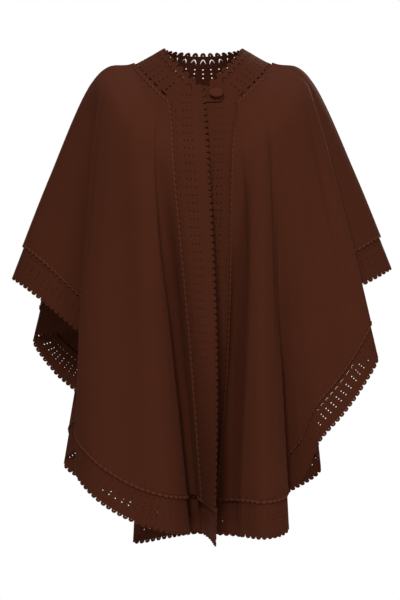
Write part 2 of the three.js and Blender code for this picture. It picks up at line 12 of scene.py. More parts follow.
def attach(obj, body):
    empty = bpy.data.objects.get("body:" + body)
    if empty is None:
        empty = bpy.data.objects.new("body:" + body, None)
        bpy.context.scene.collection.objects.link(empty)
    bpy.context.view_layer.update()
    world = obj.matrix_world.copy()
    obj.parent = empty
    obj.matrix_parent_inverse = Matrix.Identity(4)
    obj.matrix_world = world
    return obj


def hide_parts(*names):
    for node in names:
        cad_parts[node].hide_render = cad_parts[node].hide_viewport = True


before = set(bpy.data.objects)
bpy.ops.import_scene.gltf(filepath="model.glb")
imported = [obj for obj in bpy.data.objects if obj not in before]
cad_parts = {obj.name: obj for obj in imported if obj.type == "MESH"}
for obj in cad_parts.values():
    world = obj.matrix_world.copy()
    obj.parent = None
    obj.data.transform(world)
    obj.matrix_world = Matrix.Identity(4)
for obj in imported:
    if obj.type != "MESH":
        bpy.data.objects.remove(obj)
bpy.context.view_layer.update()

# Cloth and seams
MM = 0.001
THICKNESS = 1.9
LAYER_STEP = 2.3
BORDER_WIDTH = 72.0
SEAM_LAP = 8.0
SEAM_DOWN = BORDER_WIDTH - SEAM_LAP
FRONT_LAP_LIFT = 3.2
FRONT_LAP_EASE = 120.0
HEM_TUCK_EASE = 70.0
SHARP_ANGLE = 50

# Lean of the hem's pattern to stand square to the hem: most lean, how far it is smoothed
# along the hem, how fast it may change, so that the cloth never folds over, and how far on
# both sides of the band's middle it is measured
HEM_LEAN = {"most": 1.2, "smooth": 60, "rate": 0.55 / BORDER_WIDTH, "reach": 6}

# Neck edge and the seam ring outside it: half width, depths, height and drop of the V
NECK = {"half_width": 74, "front": 92, "back": 76, "shoulder_z": 35, "drop": 85, "power": 1.4}
YOKE = {"half_width": 137, "front": 108, "back": 104, "shoulder_z": 2, "drop": 114,
        "back_drop": 34, "back_power": 0.8}
SHOULDER_SWELL = {"out": 0.45, "up": 0.9}

# Folds of the hanging cloth, from the right front edge round the back to the left one.
# neck and yoke: compass angle where the fold leaves the neck edge and crosses the seam
# ring. break: where it starts to hang. puff: shoulder rise. bow: bend of the hanging
# length. hem: where it ends.
FOLD_FIELDS = ("neck", "yoke", "break_x", "break_y", "break_z", "puff",
               "bow_x", "bow_y", "hem_x", "hem_y", "hem_z")
FOLDS = [
    ("right front edge", -2, -3, 12, -130, -190, 0, 10, -7, 18, -195, -890),
    ("right band seam", 16, 25, -53, -134, -185, 0, 3, -9, 3, -134, -879),
    ("right front valley", 22, 35, -80, -130, -178, 0, 1, 4, -12, -108, -874),
    ("right valley wall", 26, 40, -92, -131, -165, 0, -2, -2, -26, -158, -871),
    ("right front crest", 31, 46, -112, -125, -152, 2, 0, -3, -56, -192, -866),
    ("right panel", 43, 57, -142, -110, -122, 5, 0, 0, -142, -188, -839),
    ("right panel side", 58, 70, -168, -86, -86, 8, -4, 0, -208, -172, -795),
    ("right arm fold edge", 72, 80, -188, -60, -60, 10, -10, -4, -236, -135, -759),
    ("right arm fold back", 75, 82, -192, -52, -57, 10, -6, 0, -205, -82, -707),
    ("right arm fold root", 78, 84, -196, -44, -52, 11, 0, 0, -135, -30, -620),
    ("right arm fold front", 81, 86, -201, -32, -45, 12, 0, 0, -180, -30, -547),
    ("right cuff", 84, 88, -206, -22, -40, 13, 0, 0, -229, -60, -509),
    ("right sleeve front", 87, 89, -208, -12, -36, 13, -3, 0, -309, -44, -444),
    ("right sleeve turn", 88.5, 89.6, -209, -5, -34, 13, -4, 0, -345, -22, -418),
    ("right arm tip", 90, 90.3, -210, 0, -33, 13, -5, 0, -365, 0, -405),
    ("right sleeve back", 94, 92, -208, 14, -36, 13, -3, 0, -305, 46, -432),
    ("right side valley", 100, 96, -208, 30, -42, 12, 0, 0, -240, 50, -502),
    ("right back fold 1", 107, 101, -203, 48, -52, 10, -6, 0, -335, 112, -525),
    ("right back slope", 113, 107, -193, 64, -62, 8, -4, 0, -293, 122, -588),
    ("right back slope end", 119, 113, -182, 75, -72, 6, 0, 0, -242, 95, -632),
    ("right back valley 2", 125, 120, -170, 84, -82, 5, 0, 0, -202, 68, -692),
    ("right back fold 2", 134, 130, -152, 95, -94, 4, -4, 4, -277, 148, -768),
    ("right back valley 3", 145, 142, -122, 104, -108, 3, 0, 0, -108, 92, -870),
    ("right back fold 3", 156, 154, -92, 110, -118, 2, 0, 4, -138, 158, -928),
    ("right of centre back", 167, 167, -50, 113, -122, 0, 0, 0, -68, 172, -920),
    ("centre back", 180, 180, 0, 112, -122, 0, 0, 0, -10, 138, -907),
    ("left of centre back", 193, 193, 50, 113, -122, 0, 0, 0, 58, 172, -914),
    ("left back fold 3", 204, 206, 92, 110, -118, 2, 0, 4, 152, 160, -914),
    ("left back valley 3", 215, 218, 122, 104, -108, 3, 0, 0, 128, 95, -852),
    ("left back fold 2", 226, 230, 152, 95, -94, 4, 4, 4, 234, 140, -778),
    ("left back valley 2", 235, 240, 170, 84, -82, 5, 0, 0, 180, 80, -692),
    ("left back slope", 241, 247, 182, 75, -72, 6, 0, 0, 225, 108, -612),
    ("left back fold 1", 249, 255, 198, 58, -58, 9, 4, 0, 280, 115, -502),
    ("left side valley", 259, 264, 207, 32, -44, 12, 0, 0, 245, 52, -470),
    ("left sleeve back", 266, 268, 207, 14, -37, 13, 4, 0, 302, 44, -410),
    ("left arm tip", 270, 270, 208, 0, -35, 13, 5, 0, 360, 0, -386),
    ("left sleeve front", 273, 271, 207, -12, -37, 13, 4, 0, 329, -35, -404),
    ("left cuff", 276, 272, 205, -20, -40, 13, 3, 0, 302, -48, -418),
    ("left arm fold front", 280, 275, 201, -28, -45, 12, 0, 0, 215, -28, -472),
    ("left arm fold root", 284, 278, 200, -36, -50, 11, 0, 0, 240, -48, -547),
    ("left arm fold back", 287, 280, 199, -42, -52, 10, 0, 0, 290, -85, -562),
    ("left arm fold edge", 290, 282, 197, -48, -56, 10, 6, -4, 322, -120, -550),
    ("left panel side", 302, 292, 182, -74, -76, 8, 4, 0, 288, -142, -612),
    ("left panel", 312, 301, 165, -92, -98, 6, 4, 4, 254, -142, -658),
    ("left panel inner", 322, 309, 150, -105, -120, 4, 2, 2, 214, -138, -704),
    ("left panel slope", 328, 314, 138, -113, -134, 3, 0, 0, 184, -124, -768),
    ("left front valley", 332, 318, 128, -120, -145, 2, 0, 0, 148, -104, -817),
    ("left ridge side", 335, 321, 119, -125, -150, 1, 0, -2, 156, -152, -866),
    ("left front ridge", 338, 324, 100, -131, -160, 0, 0, -6, 111, -192, -876),
    ("left ridge inner", 341, 328, 80, -131, -170, 0, 2, -6, 64, -158, -875),
    ("left centre valley", 343, 331, 66, -130, -178, 0, 2, 4, 36, -104, -881),
    ("left band seam", 345, 334, 52, -129, -185, 0, 9, 0, 16, -92, -880),
    ("left front edge", 365, 364, -10, -118, -190, 0, -6, -10, -46, -80, -880),
]

# Soft creases pressed into the cloth, troughs below zero and ridges above: girth and share
# of the way down at both ends, half width and height in millimetres
CREASE_FADE = 0.8
CREASE_FIELDS = ("girth_a", "share_a", "girth_b", "share_b", "wide", "high")
CREASES = [
    (92, 0.22, 112, 1.25, 22, -14.0),
    (150, 0.16, 170, 0.86, 24, -2.5),
    (205, 0.18, 245, 0.90, 26, 2.5),
    (290, 0.20, 330, 0.80, 30, -2.5),
    (417, 0.16, 421, 0.60, 8, -9.5),
    (640, 0.25, 655, 0.75, 22, 2.5),
    (1180, 0.20, 1215, 0.85, 26, -4.0),
    (1420, 0.22, 1400, 0.88, 30, 3.5),
    (1660, 0.24, 1700, 0.90, 28, -4.5),
    (1850, 0.30, 1835, 0.86, 24, 3.0),
    (2010, 0.22, 2030, 0.92, 30, -4.5),
    (2200, 0.26, 2185, 0.84, 26, 3.5),
    (2460, 0.20, 2430, 0.88, 28, -4.0),
    (2720, 0.24, 2700, 0.82, 26, 3.0),
    (3480, 0.24, 3470, 0.84, 13, -5.0),
    (3590, 0.30, 3610, 0.80, 28, 2.5),
    (3785, 0.12, 3806, 0.66, 12, -9.0),
    (3926, 0.18, 3930, 1.20, 12, 6.0),
    (3955, 0.20, 3972, 1.25, 24, -24.0),
]

# How finely the cloth is drawn and measured
GIRTH_STEP = 2.5
DOWN_STEPS = 260
RAY_SAMPLES = 320
BODY_CELL = 5.6
BODY_ROWS = 108
WALK_SAMPLES = 600
RING_SAMPLES = 400
RING_PLACES = 10

# Search for a front position on the cloth: rounds, step, share of each move, deepest place
SEARCH = {"rounds": 30, "step": 2, "pace": 0.8, "deepest": 260}

# Border pattern: balls along the edge, an eyelet in each, columns of three holes, slits.
# widened_at is the distance from the edge where a slit reads how much the border widens.
BALL = {"pitch": 12.0, "radius": 5.2, "notch": 5.8, "eyelet": 0.6}
NECK_BALL = {"pitch": 16.0, "radius": 6.0, "notch": 7.4, "eyelet": 1.0}
BALL_TURN = (-14, 194)
BALL_POINTS = 9
NECK_ARCH = {"y": 14.0, "half_width": 5.6, "rise": 9.5, "gap": 1.8, "widened_at": 20}
NECK_ARCH_POINTS = 11
NECK_SEAM_SLIT = {"y": 60.5, "half_width": 4.8, "rise": -2.0, "gap": 3.2, "widened_at": 60}
SEAM_SLIT = {"y": 58.2, "half_width": 4.4, "rise": -3.0, "gap": 0.6}
BACK_ARCH_PITCH = 18.0
BACK_COLUMN_PITCH = 16.9
TILE_BALLS = 5
TILE_LENGTH = TILE_BALLS * BALL["pitch"]
COLUMN_PITCH = 15.0
COLUMN_HOLES = (28.0, 35.5, 43.0)
NECK_COLUMN_HOLES = (34.0, 42.5, 51.0)
HOLE_RADIUS = 1.2
NECK_HOLE_RADIUS = 1.45
LAP_WAVE = {"pitch": 11.0, "depth": 3.2, "front_depth": 2.0, "points": 8}

# Spacing of the points that fill a flat shape, and how near to an edge or a hole they come
SIDE_STEP = 6.0
FILL_STEP = 5.0
NECK_FILL_STEP = 4.2
TAB_FILL_STEP = 2.4
EDGE_CLEARANCE = 0.5
HOLE_CLEARANCE = 0.35
WELD_GAP = 0.03
JOIN_GAP = 0.02

# Round corner where the hem meets a front edge, and the corner where the front meets the neck
HEM_CORNER = {"inset": 0.9, "turn": (-40, 130), "points": 12, "clear": 14.0}
NECK_CORNER = {"inset": 0.3, "drop": 3.4, "turn": (-55, 125), "points": 13, "balls": 6,
               "columns": 4, "slits": 2, "hole_gap": 1.3}

# Roll of the lapped edge: distance in from the edge, lift, and share of painted highlight that lightens
# the raised ridge's colour, from the inside out
LAP_ROLL = ((4.6, -0.3, 0.0), (3.0, 0.9, 0.9), (1.5, 1.3, 1.0), (0.0, 0.5, 0.5))
GRID_INSET = 8.0


def ease(t):
    """Soft step from 0 to 1."""
    c = np.clip(t, 0.0, 1.0)
    return c * c * (3 - 2 * c)


def curve_through(knots, rows, q):
    """Smooth curve through the rows at the knots, read at the places q."""
    last = len(knots) - 1
    width = np.diff(knots)
    rate = np.diff(rows, axis=0) / width[:, None]
    slope = np.empty_like(rows)
    slope[0] = rate[0]
    slope[last] = rate[-1]
    both = (width[1:] + width[:-1])[:, None]
    slope[1:last] = (rate[:-1] * width[1:, None] + rate[1:] * width[:-1, None]) / both
    i = np.clip(np.searchsorted(knots, q, side="right") - 1, 0, last - 1)
    span = width[i][:, None]
    t = ((q - knots[i]) / width[i])[:, None]
    end = t * t * (3 - 2 * t)
    pull = t * (1 - t)
    return (rows[i] * (1 - end) + rows[i + 1] * end
            + slope[i] * pull * (1 - t) * span - slope[i + 1] * pull * t * span)


FOLD_VALUES = np.array([row[1:] for row in FOLDS], float)
HEM_POINTS = FOLD_VALUES[:, -3:]
FOLD_GIRTHS = np.concatenate([[0.0], np.cumsum(np.linalg.norm(np.diff(HEM_POINTS, axis=0), axis=1))])
GIRTH_OF = {row[0]: girth for row, girth in zip(FOLDS, FOLD_GIRTHS)}
GIRTH_END = float(FOLD_GIRTHS[-1])
RIGHT_SEAM = GIRTH_OF["right band seam"]
LEFT_SEAM = GIRTH_OF["left band seam"]
RIGHT_TIP = GIRTH_OF["right arm tip"]
LEFT_TIP = GIRTH_OF["left arm tip"]
RIGHT_NECK_JOIN = GIRTH_OF["right back fold 1"]
LEFT_NECK_JOIN = GIRTH_OF["left back fold 1"]
CENTRE_BACK = GIRTH_OF["centre back"]


def ring_points(ring, degrees, height):
    """Points of an oval ring; 0 degrees is the front, 90 the right side."""
    turn = np.radians(degrees)
    depth = np.where(np.cos(turn) > 0, ring["front"], ring["back"])
    return np.stack([-ring["half_width"] * np.sin(turn), -depth * np.cos(turn), height], -1)


def from_front(degrees):
    return np.minimum(np.abs(degrees), np.abs(360 - degrees))


def neck_points(degrees):
    share = np.clip((90 - from_front(degrees)) / 90, 0, 1)
    return ring_points(NECK, degrees, NECK["shoulder_z"] - NECK["drop"] * share ** NECK["power"])


def yoke_points(degrees):
    side = (90 - from_front(degrees)) / 90
    front = YOKE["drop"] * np.maximum(side, 0)
    back = YOKE["back_drop"] * np.maximum(-side, 0) ** YOKE["back_power"]
    return ring_points(YOKE, degrees, YOKE["shoulder_z"] - front - back)


def fold_lines(girths):
    """Six points of each fold line: neck, seam, shoulder, break, half-way, hem."""
    table = curve_through(FOLD_GIRTHS, FOLD_VALUES, girths)
    column = {name: table[:, k] for k, name in enumerate(FOLD_FIELDS)}
    neck = neck_points(column["neck"])
    yoke = yoke_points(column["yoke"])
    bend = np.stack([column["break_x"], column["break_y"], column["break_z"]], -1)
    hem = np.stack([column["hem_x"], column["hem_y"], column["hem_z"]], -1)
    outward = (yoke + bend) * (1, 1, 0)
    outward /= np.linalg.norm(outward, axis=1)[:, None]
    puff = column["puff"][:, None]
    swell = SHOULDER_SWELL["out"] * outward + (0, 0, SHOULDER_SWELL["up"])
    shoulder = (yoke + bend) / 2 + puff * swell
    middle = (bend + hem) / 2
    middle[:, 0] += column["bow_x"]
    middle[:, 1] += column["bow_y"]
    right = 1 - ease(girths / FRONT_LAP_EASE)
    left = 1 - ease((GIRTH_END - girths) / FRONT_LAP_EASE)
    lines = np.stack([neck, yoke, shoulder, bend, middle, hem], 1)
    lines[:, :-1, 1] -= (FRONT_LAP_LIFT * (right - left))[:, None]
    return lines


class Drape:
    """The hanging cloth. Girth runs along the hem, down runs from the neck edge."""

    def __init__(self):
        count = int(GIRTH_END / GIRTH_STEP) + 1
        self.girths = np.linspace(0, GIRTH_END, count)
        self.shares = np.linspace(0, 1, DOWN_STEPS + 1)
        self.points = np.empty((count, DOWN_STEPS + 1, 3))
        self.lengths = np.empty(count)
        for i, line in enumerate(fold_lines(self.girths)):
            steps = np.sqrt(np.linalg.norm(np.diff(line, axis=0), axis=1))
            knots = np.concatenate([[0.0], np.cumsum(steps)])
            fine = curve_through(knots, line, np.linspace(0, knots[-1], RAY_SAMPLES))
            run = np.concatenate([[0.0], np.cumsum(np.linalg.norm(np.diff(fine, axis=0), axis=1))])
            self.lengths[i] = run[-1]
            for axis in range(3):
                self.points[i, :, axis] = np.interp(self.shares * run[-1], run, fine[:, axis])
        self.square_up()
        for crease in CREASES:
            self.press(crease)
        self.square_up()
        self.hem_run = self.run_of(self.points[:, -1])
        self.neck_run = self.run_of(self.points[:, 0])

    @staticmethod
    def run_of(points):
        return np.concatenate([[0.0], np.cumsum(np.linalg.norm(np.diff(points, axis=0), axis=1))])

    def square_up(self):
        """Directions square to the cloth, facing out."""
        across = np.gradient(self.points, axis=0)
        along = np.gradient(self.points, axis=1)
        self.spread = np.linalg.norm(across, axis=2) / (self.girths[1] - self.girths[0])
        normals = np.cross(across, along)
        self.normals = normals / np.linalg.norm(normals, axis=2)[..., None]

    def press(self, crease):
        """Moves the cloth in or out along one soft crease."""
        crease = dict(zip(CREASE_FIELDS, crease))
        share_a, share_b = crease["share_a"], crease["share_b"]
        middle = np.interp(self.shares, [share_a, share_b], [crease["girth_a"], crease["girth_b"]])
        along = np.clip((self.shares - share_a) / (share_b - share_a), 0, 1)
        fade = np.sin(np.pi * along) ** CREASE_FADE
        off = (self.girths[:, None] - middle[None, :]) * self.spread
        move = crease["high"] * fade * np.exp(-(off / crease["wide"]) ** 2)
        self.points += self.normals * move[..., None]

    def length_at(self, girth):
        return np.interp(girth, self.girths, self.lengths)

    def place(self, girth, down):
        """Points and outward directions of the cloth."""
        girth = np.asarray(girth, float)
        down = np.asarray(down, float)
        length = self.length_at(girth)
        column = np.clip(girth / GIRTH_END * (len(self.girths) - 1), 0, len(self.girths) - 1 - 1e-9)
        row = np.clip(down / length * DOWN_STEPS, 0, DOWN_STEPS - 1e-9)
        c = column.astype(int)
        r = row.astype(int)
        u = (column - c)[:, None]
        v = (row - r)[:, None]
        found = []
        for grid in (self.points, self.normals):
            near = grid[c, r] * (1 - v) + grid[c, r + 1] * v
            far = grid[c + 1, r] * (1 - v) + grid[c + 1, r + 1] * v
            found.append(near * (1 - u) + far * u)
        found[1] /= np.linalg.norm(found[1], axis=1)[:, None]
        return found[0], found[1]

    def find_from_front(self, x, z, girth, down, low, high):
        """Where the cloth passes the front position x, z, searched from a guess."""
        girth = np.array(girth, float)
        down = np.array(down, float)
        step = SEARCH["step"]
        pace = SEARCH["pace"]
        for _ in range(SEARCH["rounds"]):
            here = self.place(girth, down)[0]
            across = self.place(girth + step, down)[0] - self.place(girth - step, down)[0]
            along = self.place(girth, down + step)[0] - self.place(girth, down - step)[0]
            across /= 2 * step
            along /= 2 * step
            scale = across[:, 0] * along[:, 2] - across[:, 2] * along[:, 0]
            miss_x = x - here[:, 0]
            miss_z = z - here[:, 2]
            girth += pace * (miss_x * along[:, 2] - miss_z * along[:, 0]) / scale
            down += pace * (across[:, 0] * miss_z - across[:, 2] * miss_x) / scale
            girth = np.clip(girth, low, high)
            down = np.clip(down, 1, SEARCH["deepest"])
        return girth, down


drape = Drape()


# Flat shapes of the border
def circle(x, y, radius, points=10, stretch=1.0):
    turns = np.linspace(0, 2 * math.pi, points, endpoint=False)
    return np.stack([x + radius * np.cos(turns) / stretch, y + radius * np.sin(turns)], -1)


def slit(x, y, cut, stretch=1.0, points=7):
    """Curved slit whose ends lie cut["rise"] away from its middle, widest in the middle."""
    t = np.linspace(-1, 1, points)
    line = np.stack([cut["half_width"] * t, cut["rise"] * t * t], -1)
    along = np.stack([np.full(points, cut["half_width"]), 2 * cut["rise"] * t], -1)
    along /= np.linalg.norm(along, axis=1)[:, None]
    aside = np.stack([-along[:, 1], along[:, 0]], -1) * (cut["gap"] / 2 * (1 - t ** 4))[:, None]
    outline = np.concatenate([line - aside, (line + aside)[-2:0:-1]])
    return outline * (1 / stretch, 1) + (x, y)


def ball_line(ball, count):
    """Edge of round balls parted by notches, as (along, inward) points."""
    line = []
    for k in range(count):
        middle = (k + 0.5) * ball["pitch"]
        line.append((k * ball["pitch"], ball["notch"]))
        for turn in np.radians(np.linspace(*BALL_TURN, BALL_POINTS)):
            line.append((middle - ball["radius"] * math.cos(turn),
                         ball["radius"] * (1 - math.sin(turn))))
    line.append((count * ball["pitch"], ball["notch"]))
    return line


def side_places(ball):
    """Distances from the edge at which two neighbouring lengths of border share points."""
    steps = int(round(BORDER_WIDTH / SIDE_STEP))
    return [ball["notch"]] + [SIDE_STEP * k for k in range(2, steps + 1)]


def inside(points, outline):
    """Which points lie inside a closed outline."""
    x, y = points[:, 0], points[:, 1]
    hit = np.zeros(len(points), bool)
    for (x0, y0), (x1, y1) in zip(outline, np.roll(outline, -1, axis=0)):
        crosses = (y0 > y) != (y1 > y)
        if y0 != y1:
            hit ^= crosses & (x < (x1 - x0) * (y - y0) / (y1 - y0) + x0)
    return hit


def near_line(points, outline, gap):
    """Which points lie closer than gap to the outline's corners or middles."""
    marks = np.concatenate([outline, (outline + np.roll(outline, -1, axis=0)) / 2])
    return (np.linalg.norm(points[:, None] - marks[None], axis=2) < gap).any(1)


def fill(outline, holes, step=FILL_STEP):
    """Flat cloth inside the outline with holes cut out: points and triangles."""
    outline = np.asarray(outline, float)
    low, high = outline.min(0), outline.max(0)
    across = np.arange(low[0] + step / 2, high[0], step)
    down = np.arange(low[1] + step / 2, high[1], step)
    spare = np.stack(np.meshgrid(across, down), -1).reshape(-1, 2)
    spare = spare[inside(spare, outline) & ~near_line(spare, outline, step * EDGE_CLEARANCE)]
    for hole in holes:
        spare = spare[~inside(spare, hole) & ~near_line(spare, hole, step * HOLE_CLEARANCE)]
    loops = [outline, *holes]
    points = np.concatenate(loops + [spare])
    edges = []
    start = 0
    for loop in loops:
        size = len(loop)
        edges += [(start + k, start + (k + 1) % size) for k in range(size)]
        start += size
    found = delaunay_2d_cdt([Vector(p) for p in points], edges, [], 0, 1e-6)
    flat = np.array([tuple(v) for v in found[0]])
    faces = np.array([f for f in found[2] if len(f) == 3], int)
    middles = flat[faces].mean(1)
    keep = inside(middles, outline)
    for hole in holes:
        keep &= ~inside(middles, hole)
    return flat, faces[keep]


def tile_holes(first=0.0):
    """Eyelets, columns of holes and seam slits of one repeat, from first on."""
    holes = []
    for k in range(TILE_BALLS):
        middle = (k + 0.5) * BALL["pitch"]
        if middle > first:
            holes.append(circle(middle, BALL["radius"], BALL["eyelet"]))
    for k in range(int(round(TILE_LENGTH / COLUMN_PITCH))):
        middle = (k + 0.5) * COLUMN_PITCH
        if middle > first:
            holes += [circle(middle, y, HOLE_RADIUS) for y in COLUMN_HOLES]
            holes.append(slit(middle, SEAM_SLIT["y"], SEAM_SLIT))
    return holes


def wave(t):
    """Depth share of a lap edge's scallops; t counts scallops."""
    return 0.5 - 0.5 * np.cos(2 * np.pi * t)


def straight_side():
    """Far side of a repeat that the next repeat joins."""
    return [(TILE_LENGTH, y) for y in side_places(BALL)[1:]]


def scalloped_side():
    """Far side of a front strip's last repeat, which laps over the hem border."""
    steps = int(round((BORDER_WIDTH - BALL["notch"]) / 2))
    places = np.linspace(BALL["notch"], BORDER_WIDTH, steps + 1)[1:]
    return [(TILE_LENGTH - LAP_WAVE["depth"] * wave(y / LAP_WAVE["pitch"]), y) for y in places]


def border_tile(far_side):
    """One repeat of the border, with the far side given."""
    outline = ball_line(BALL, TILE_BALLS) + far_side
    outline += [(x, BORDER_WIDTH) for x in np.arange(TILE_LENGTH - SIDE_STEP, 0, -SIDE_STEP)]
    outline += [(0.0, y) for y in side_places(BALL)[:0:-1]]
    return fill(outline, tile_holes())


def front_end_tile():
    """A repeat of the hem border whose near side is the scalloped front edge."""
    radius = BALL["radius"]
    centre = radius + HEM_CORNER["inset"]
    corner = [(centre - radius * math.cos(turn), centre - radius * math.sin(turn))
              for turn in np.radians(np.linspace(*HEM_CORNER["turn"], HEM_CORNER["points"]))]
    edge = ball_line(BALL, TILE_BALLS)[BALL_POINTS + 1:]
    side = [(y, x) for x, y in ball_line(BALL, TILE_BALLS + 1)][BALL_POINTS + 1:]
    outline = corner + edge + straight_side()
    outline += [(x, BORDER_WIDTH)
                for x in np.arange(TILE_LENGTH - SIDE_STEP, BALL["notch"] + 1, -SIDE_STEP)]
    outline += side[::-1]
    holes = tile_holes(first=HEM_CORNER["clear"])
    holes.append(circle(centre, centre, BALL["eyelet"]))
    holes += [circle(radius, (k + 0.5) * BALL["pitch"], BALL["eyelet"])
              for k in range(1, TILE_BALLS + 1)]
    return fill(outline, holes)


def neck_tile(widened):
    """One repeat of the neck border; widened tells how much it widens at each distance."""
    pitch = NECK_BALL["pitch"]
    middle = pitch / 2
    sides = side_places(NECK_BALL)
    outline = ball_line(NECK_BALL, 1)
    outline += [(pitch, y) for y in sides[1:]]
    outline += [(x, BORDER_WIDTH) for x in (pitch * 2 / 3, pitch / 3)]
    outline += [(0.0, y) for y in sides[:0:-1]]
    ball = NECK_BALL["radius"]
    holes = [circle(middle, ball, NECK_BALL["eyelet"], stretch=widened(ball))]
    holes.append(slit(middle, NECK_ARCH["y"], NECK_ARCH, widened(NECK_ARCH["widened_at"]),
                      NECK_ARCH_POINTS))
    holes += [circle(middle, y, NECK_HOLE_RADIUS, stretch=widened(y)) for y in NECK_COLUMN_HOLES]
    holes.append(slit(middle, NECK_SEAM_SLIT["y"], NECK_SEAM_SLIT,
                      widened(NECK_SEAM_SLIT["widened_at"])))
    return fill(outline, holes, NECK_FILL_STEP)


# Meshes
def mesh_object(name, points, faces):
    """A smooth-shaded Blender object from points in millimetres and faces."""
    mesh = bpy.data.meshes.new(name)
    mesh.from_pydata((np.asarray(points) * MM).tolist(), [], np.asarray(faces).tolist())
    mesh.update()
    mesh.shade_smooth()
    made = bpy.data.objects.new(name, mesh)
    bpy.context.scene.collection.objects.link(made)
    return made


def weld(girth, down, triangles, positions):
    """Joins points that lie on one another, so that neighbouring lengths become one cloth."""
    tree = kdtree.KDTree(len(positions))
    for i, point in enumerate(positions):
        tree.insert(point, i)
    tree.balance()
    owner = np.arange(len(positions))
    for i, point in enumerate(positions):
        if owner[i] == i:
            for _, k, _ in tree.find_range(point, WELD_GAP):
                if k > i:
                    owner[k] = i
    kept, index = np.unique(owner, return_inverse=True)
    triangles = index[triangles]
    whole = ((triangles[:, 0] != triangles[:, 1]) & (triangles[:, 1] != triangles[:, 2])
             & (triangles[:, 2] != triangles[:, 0]))
    return girth[kept], down[kept], triangles[whole]


def shell(name, girth, down, triangles, offset, thickness=THICKNESS):
    """Cloth of even thickness on the drape, offset from it along its outward direction."""
    g = girth[triangles]
    d = down[triangles]
    area = (g[:, 1] - g[:, 0]) * (d[:, 2] - d[:, 0]) - (g[:, 2] - g[:, 0]) * (d[:, 1] - d[:, 0])
    triangles = np.where((area < 0)[:, None], triangles[:, ::-1], triangles)
    points, normals = drape.place(girth, down)
    middle = points + normals * np.broadcast_to(offset, len(points))[:, None]
    count = len(points)
    outer = middle + normals * thickness / 2
    inner = middle - normals * thickness / 2
    sides = np.concatenate([triangles[:, [0, 1]], triangles[:, [1, 2]], triangles[:, [2, 0]]])
    key = np.sort(sides, axis=1)
    key = key[:, 0] * count + key[:, 1]
    _, first, uses = np.unique(key, return_index=True, return_counts=True)
    rim = sides[first[uses == 1]]
    a, b = rim[:, 0], rim[:, 1]
    wall = np.concatenate([np.stack([b, a, a + count], -1), np.stack([b, a + count, b + count], -1)])
    faces = np.concatenate([triangles, triangles[:, ::-1] + count, wall])
    made = mesh_object(name, np.concatenate([outer, inner]), faces)
    made.data.set_sharp_from_angle(angle=math.radians(SHARP_ANGLE))
    return made


def zip_rows(first, second):
    """Triangles between two rows of points, in step along both."""
    first_at = np.linspace(0, 1, len(first))
    second_at = np.linspace(0, 1, len(second))
    triangles = []
    i = j = 0
    while i < len(first) - 1 or j < len(second) - 1:
        if j == len(second) - 1:
            step_first = True
        elif i == len(first) - 1:
            step_first = False
        else:
            step_first = first_at[i] + first_at[i + 1] <= second_at[j] + second_at[j + 1]
        if step_first:
            triangles.append((first[i], first[i + 1], second[j]))
            i += 1
        else:
            triangles.append((first[i], second[j + 1], second[j]))
            j += 1
    return triangles


def even_places(start, end, line):
    """Values from start to end at even distances on a line of the cloth, and the scallops so far.

    line gives the girth and down of each value."""
    walk = np.linspace(start, end, WALK_SAMPLES)
    run = Drape.run_of(drape.place(*line(walk))[0])
    scallops = max(1, int(round(run[-1] / LAP_WAVE["pitch"])))
    counted = np.linspace(0, scallops, scallops * LAP_WAVE["points"] + 1)
    return np.interp(counted / scallops * run[-1], run, walk), counted


def panel_sides(first, last, lap_first, lap_last, inward):
    """Girth and down along the four sides of a body panel, drawn in by inward millimetres."""
    depth = LAP_WAVE["depth"]
    low = first + inward
    high = last - inward
    start = SEAM_DOWN + inward

    def end_of(girth):
        return drape.length_at(girth) - SEAM_DOWN - inward

    top, top_count = even_places(low, high, lambda g: (g, np.full(len(g), start)))
    bottom, bottom_count = even_places(low, high, lambda g: (g, end_of(g)))
    sides = {
        "top": [top, np.full(len(top), start) + depth * wave(top_count)],
        "bottom": [bottom, end_of(bottom) - depth * wave(bottom_count)],
    }
    for side, value, lapped, turn in (("first", low, lap_first, 1), ("last", high, lap_last, -1)):
        end = float(end_of(np.array([value]))[0])
        if lapped:
            at, count = even_places(start, end, lambda d, g=value: (np.full(len(d), g), d))
            sides[side] = [value + turn * LAP_WAVE["front_depth"] * wave(count), at]
        else:
            at = np.linspace(start, end, BODY_ROWS + 1)
            sides[side] = [np.full(len(at), value), at]
    for row, end in (("top", 0), ("bottom", -1)):
        for k, side in ((0, "first"), (-1, "last")):
            sides[row][0][k] = sides[side][0][end]
            sides[side][1][end] = sides[row][1][k]
    return sides


class Patch:
    """Points and triangles of a body panel as it is put together."""

    def __init__(self):
        self.girth = []
        self.down = []
        self.lift = []
        self.lap_highlight = []
        self.triangles = []

    def add(self, girth, down, lift=0.0, lap_highlight=0.0):
        start = len(self.girth)
        self.girth += list(girth)
        self.down += list(down)
        self.lift += [lift] * len(girth)
        self.lap_highlight += [lap_highlight] * len(girth)
        return list(range(start, len(self.girth)))

    def add_loop(self, sides, lift, lap_highlight):
        """The four sides as rows of point numbers that share their corners."""
        rows = {side: self.add(*sides[side], lift, lap_highlight) for side in ("top", "bottom")}
        for side, k in (("first", 0), ("last", -1)):
            middle = self.add(sides[side][0][1:-1], sides[side][1][1:-1], lift, lap_highlight)
            rows[side] = [rows["top"][k]] + middle + [rows["bottom"][k]]
        return rows

    def join_loops(self, outer, inner):
        for side in outer:
            self.triangles += zip_rows(outer[side], inner[side])


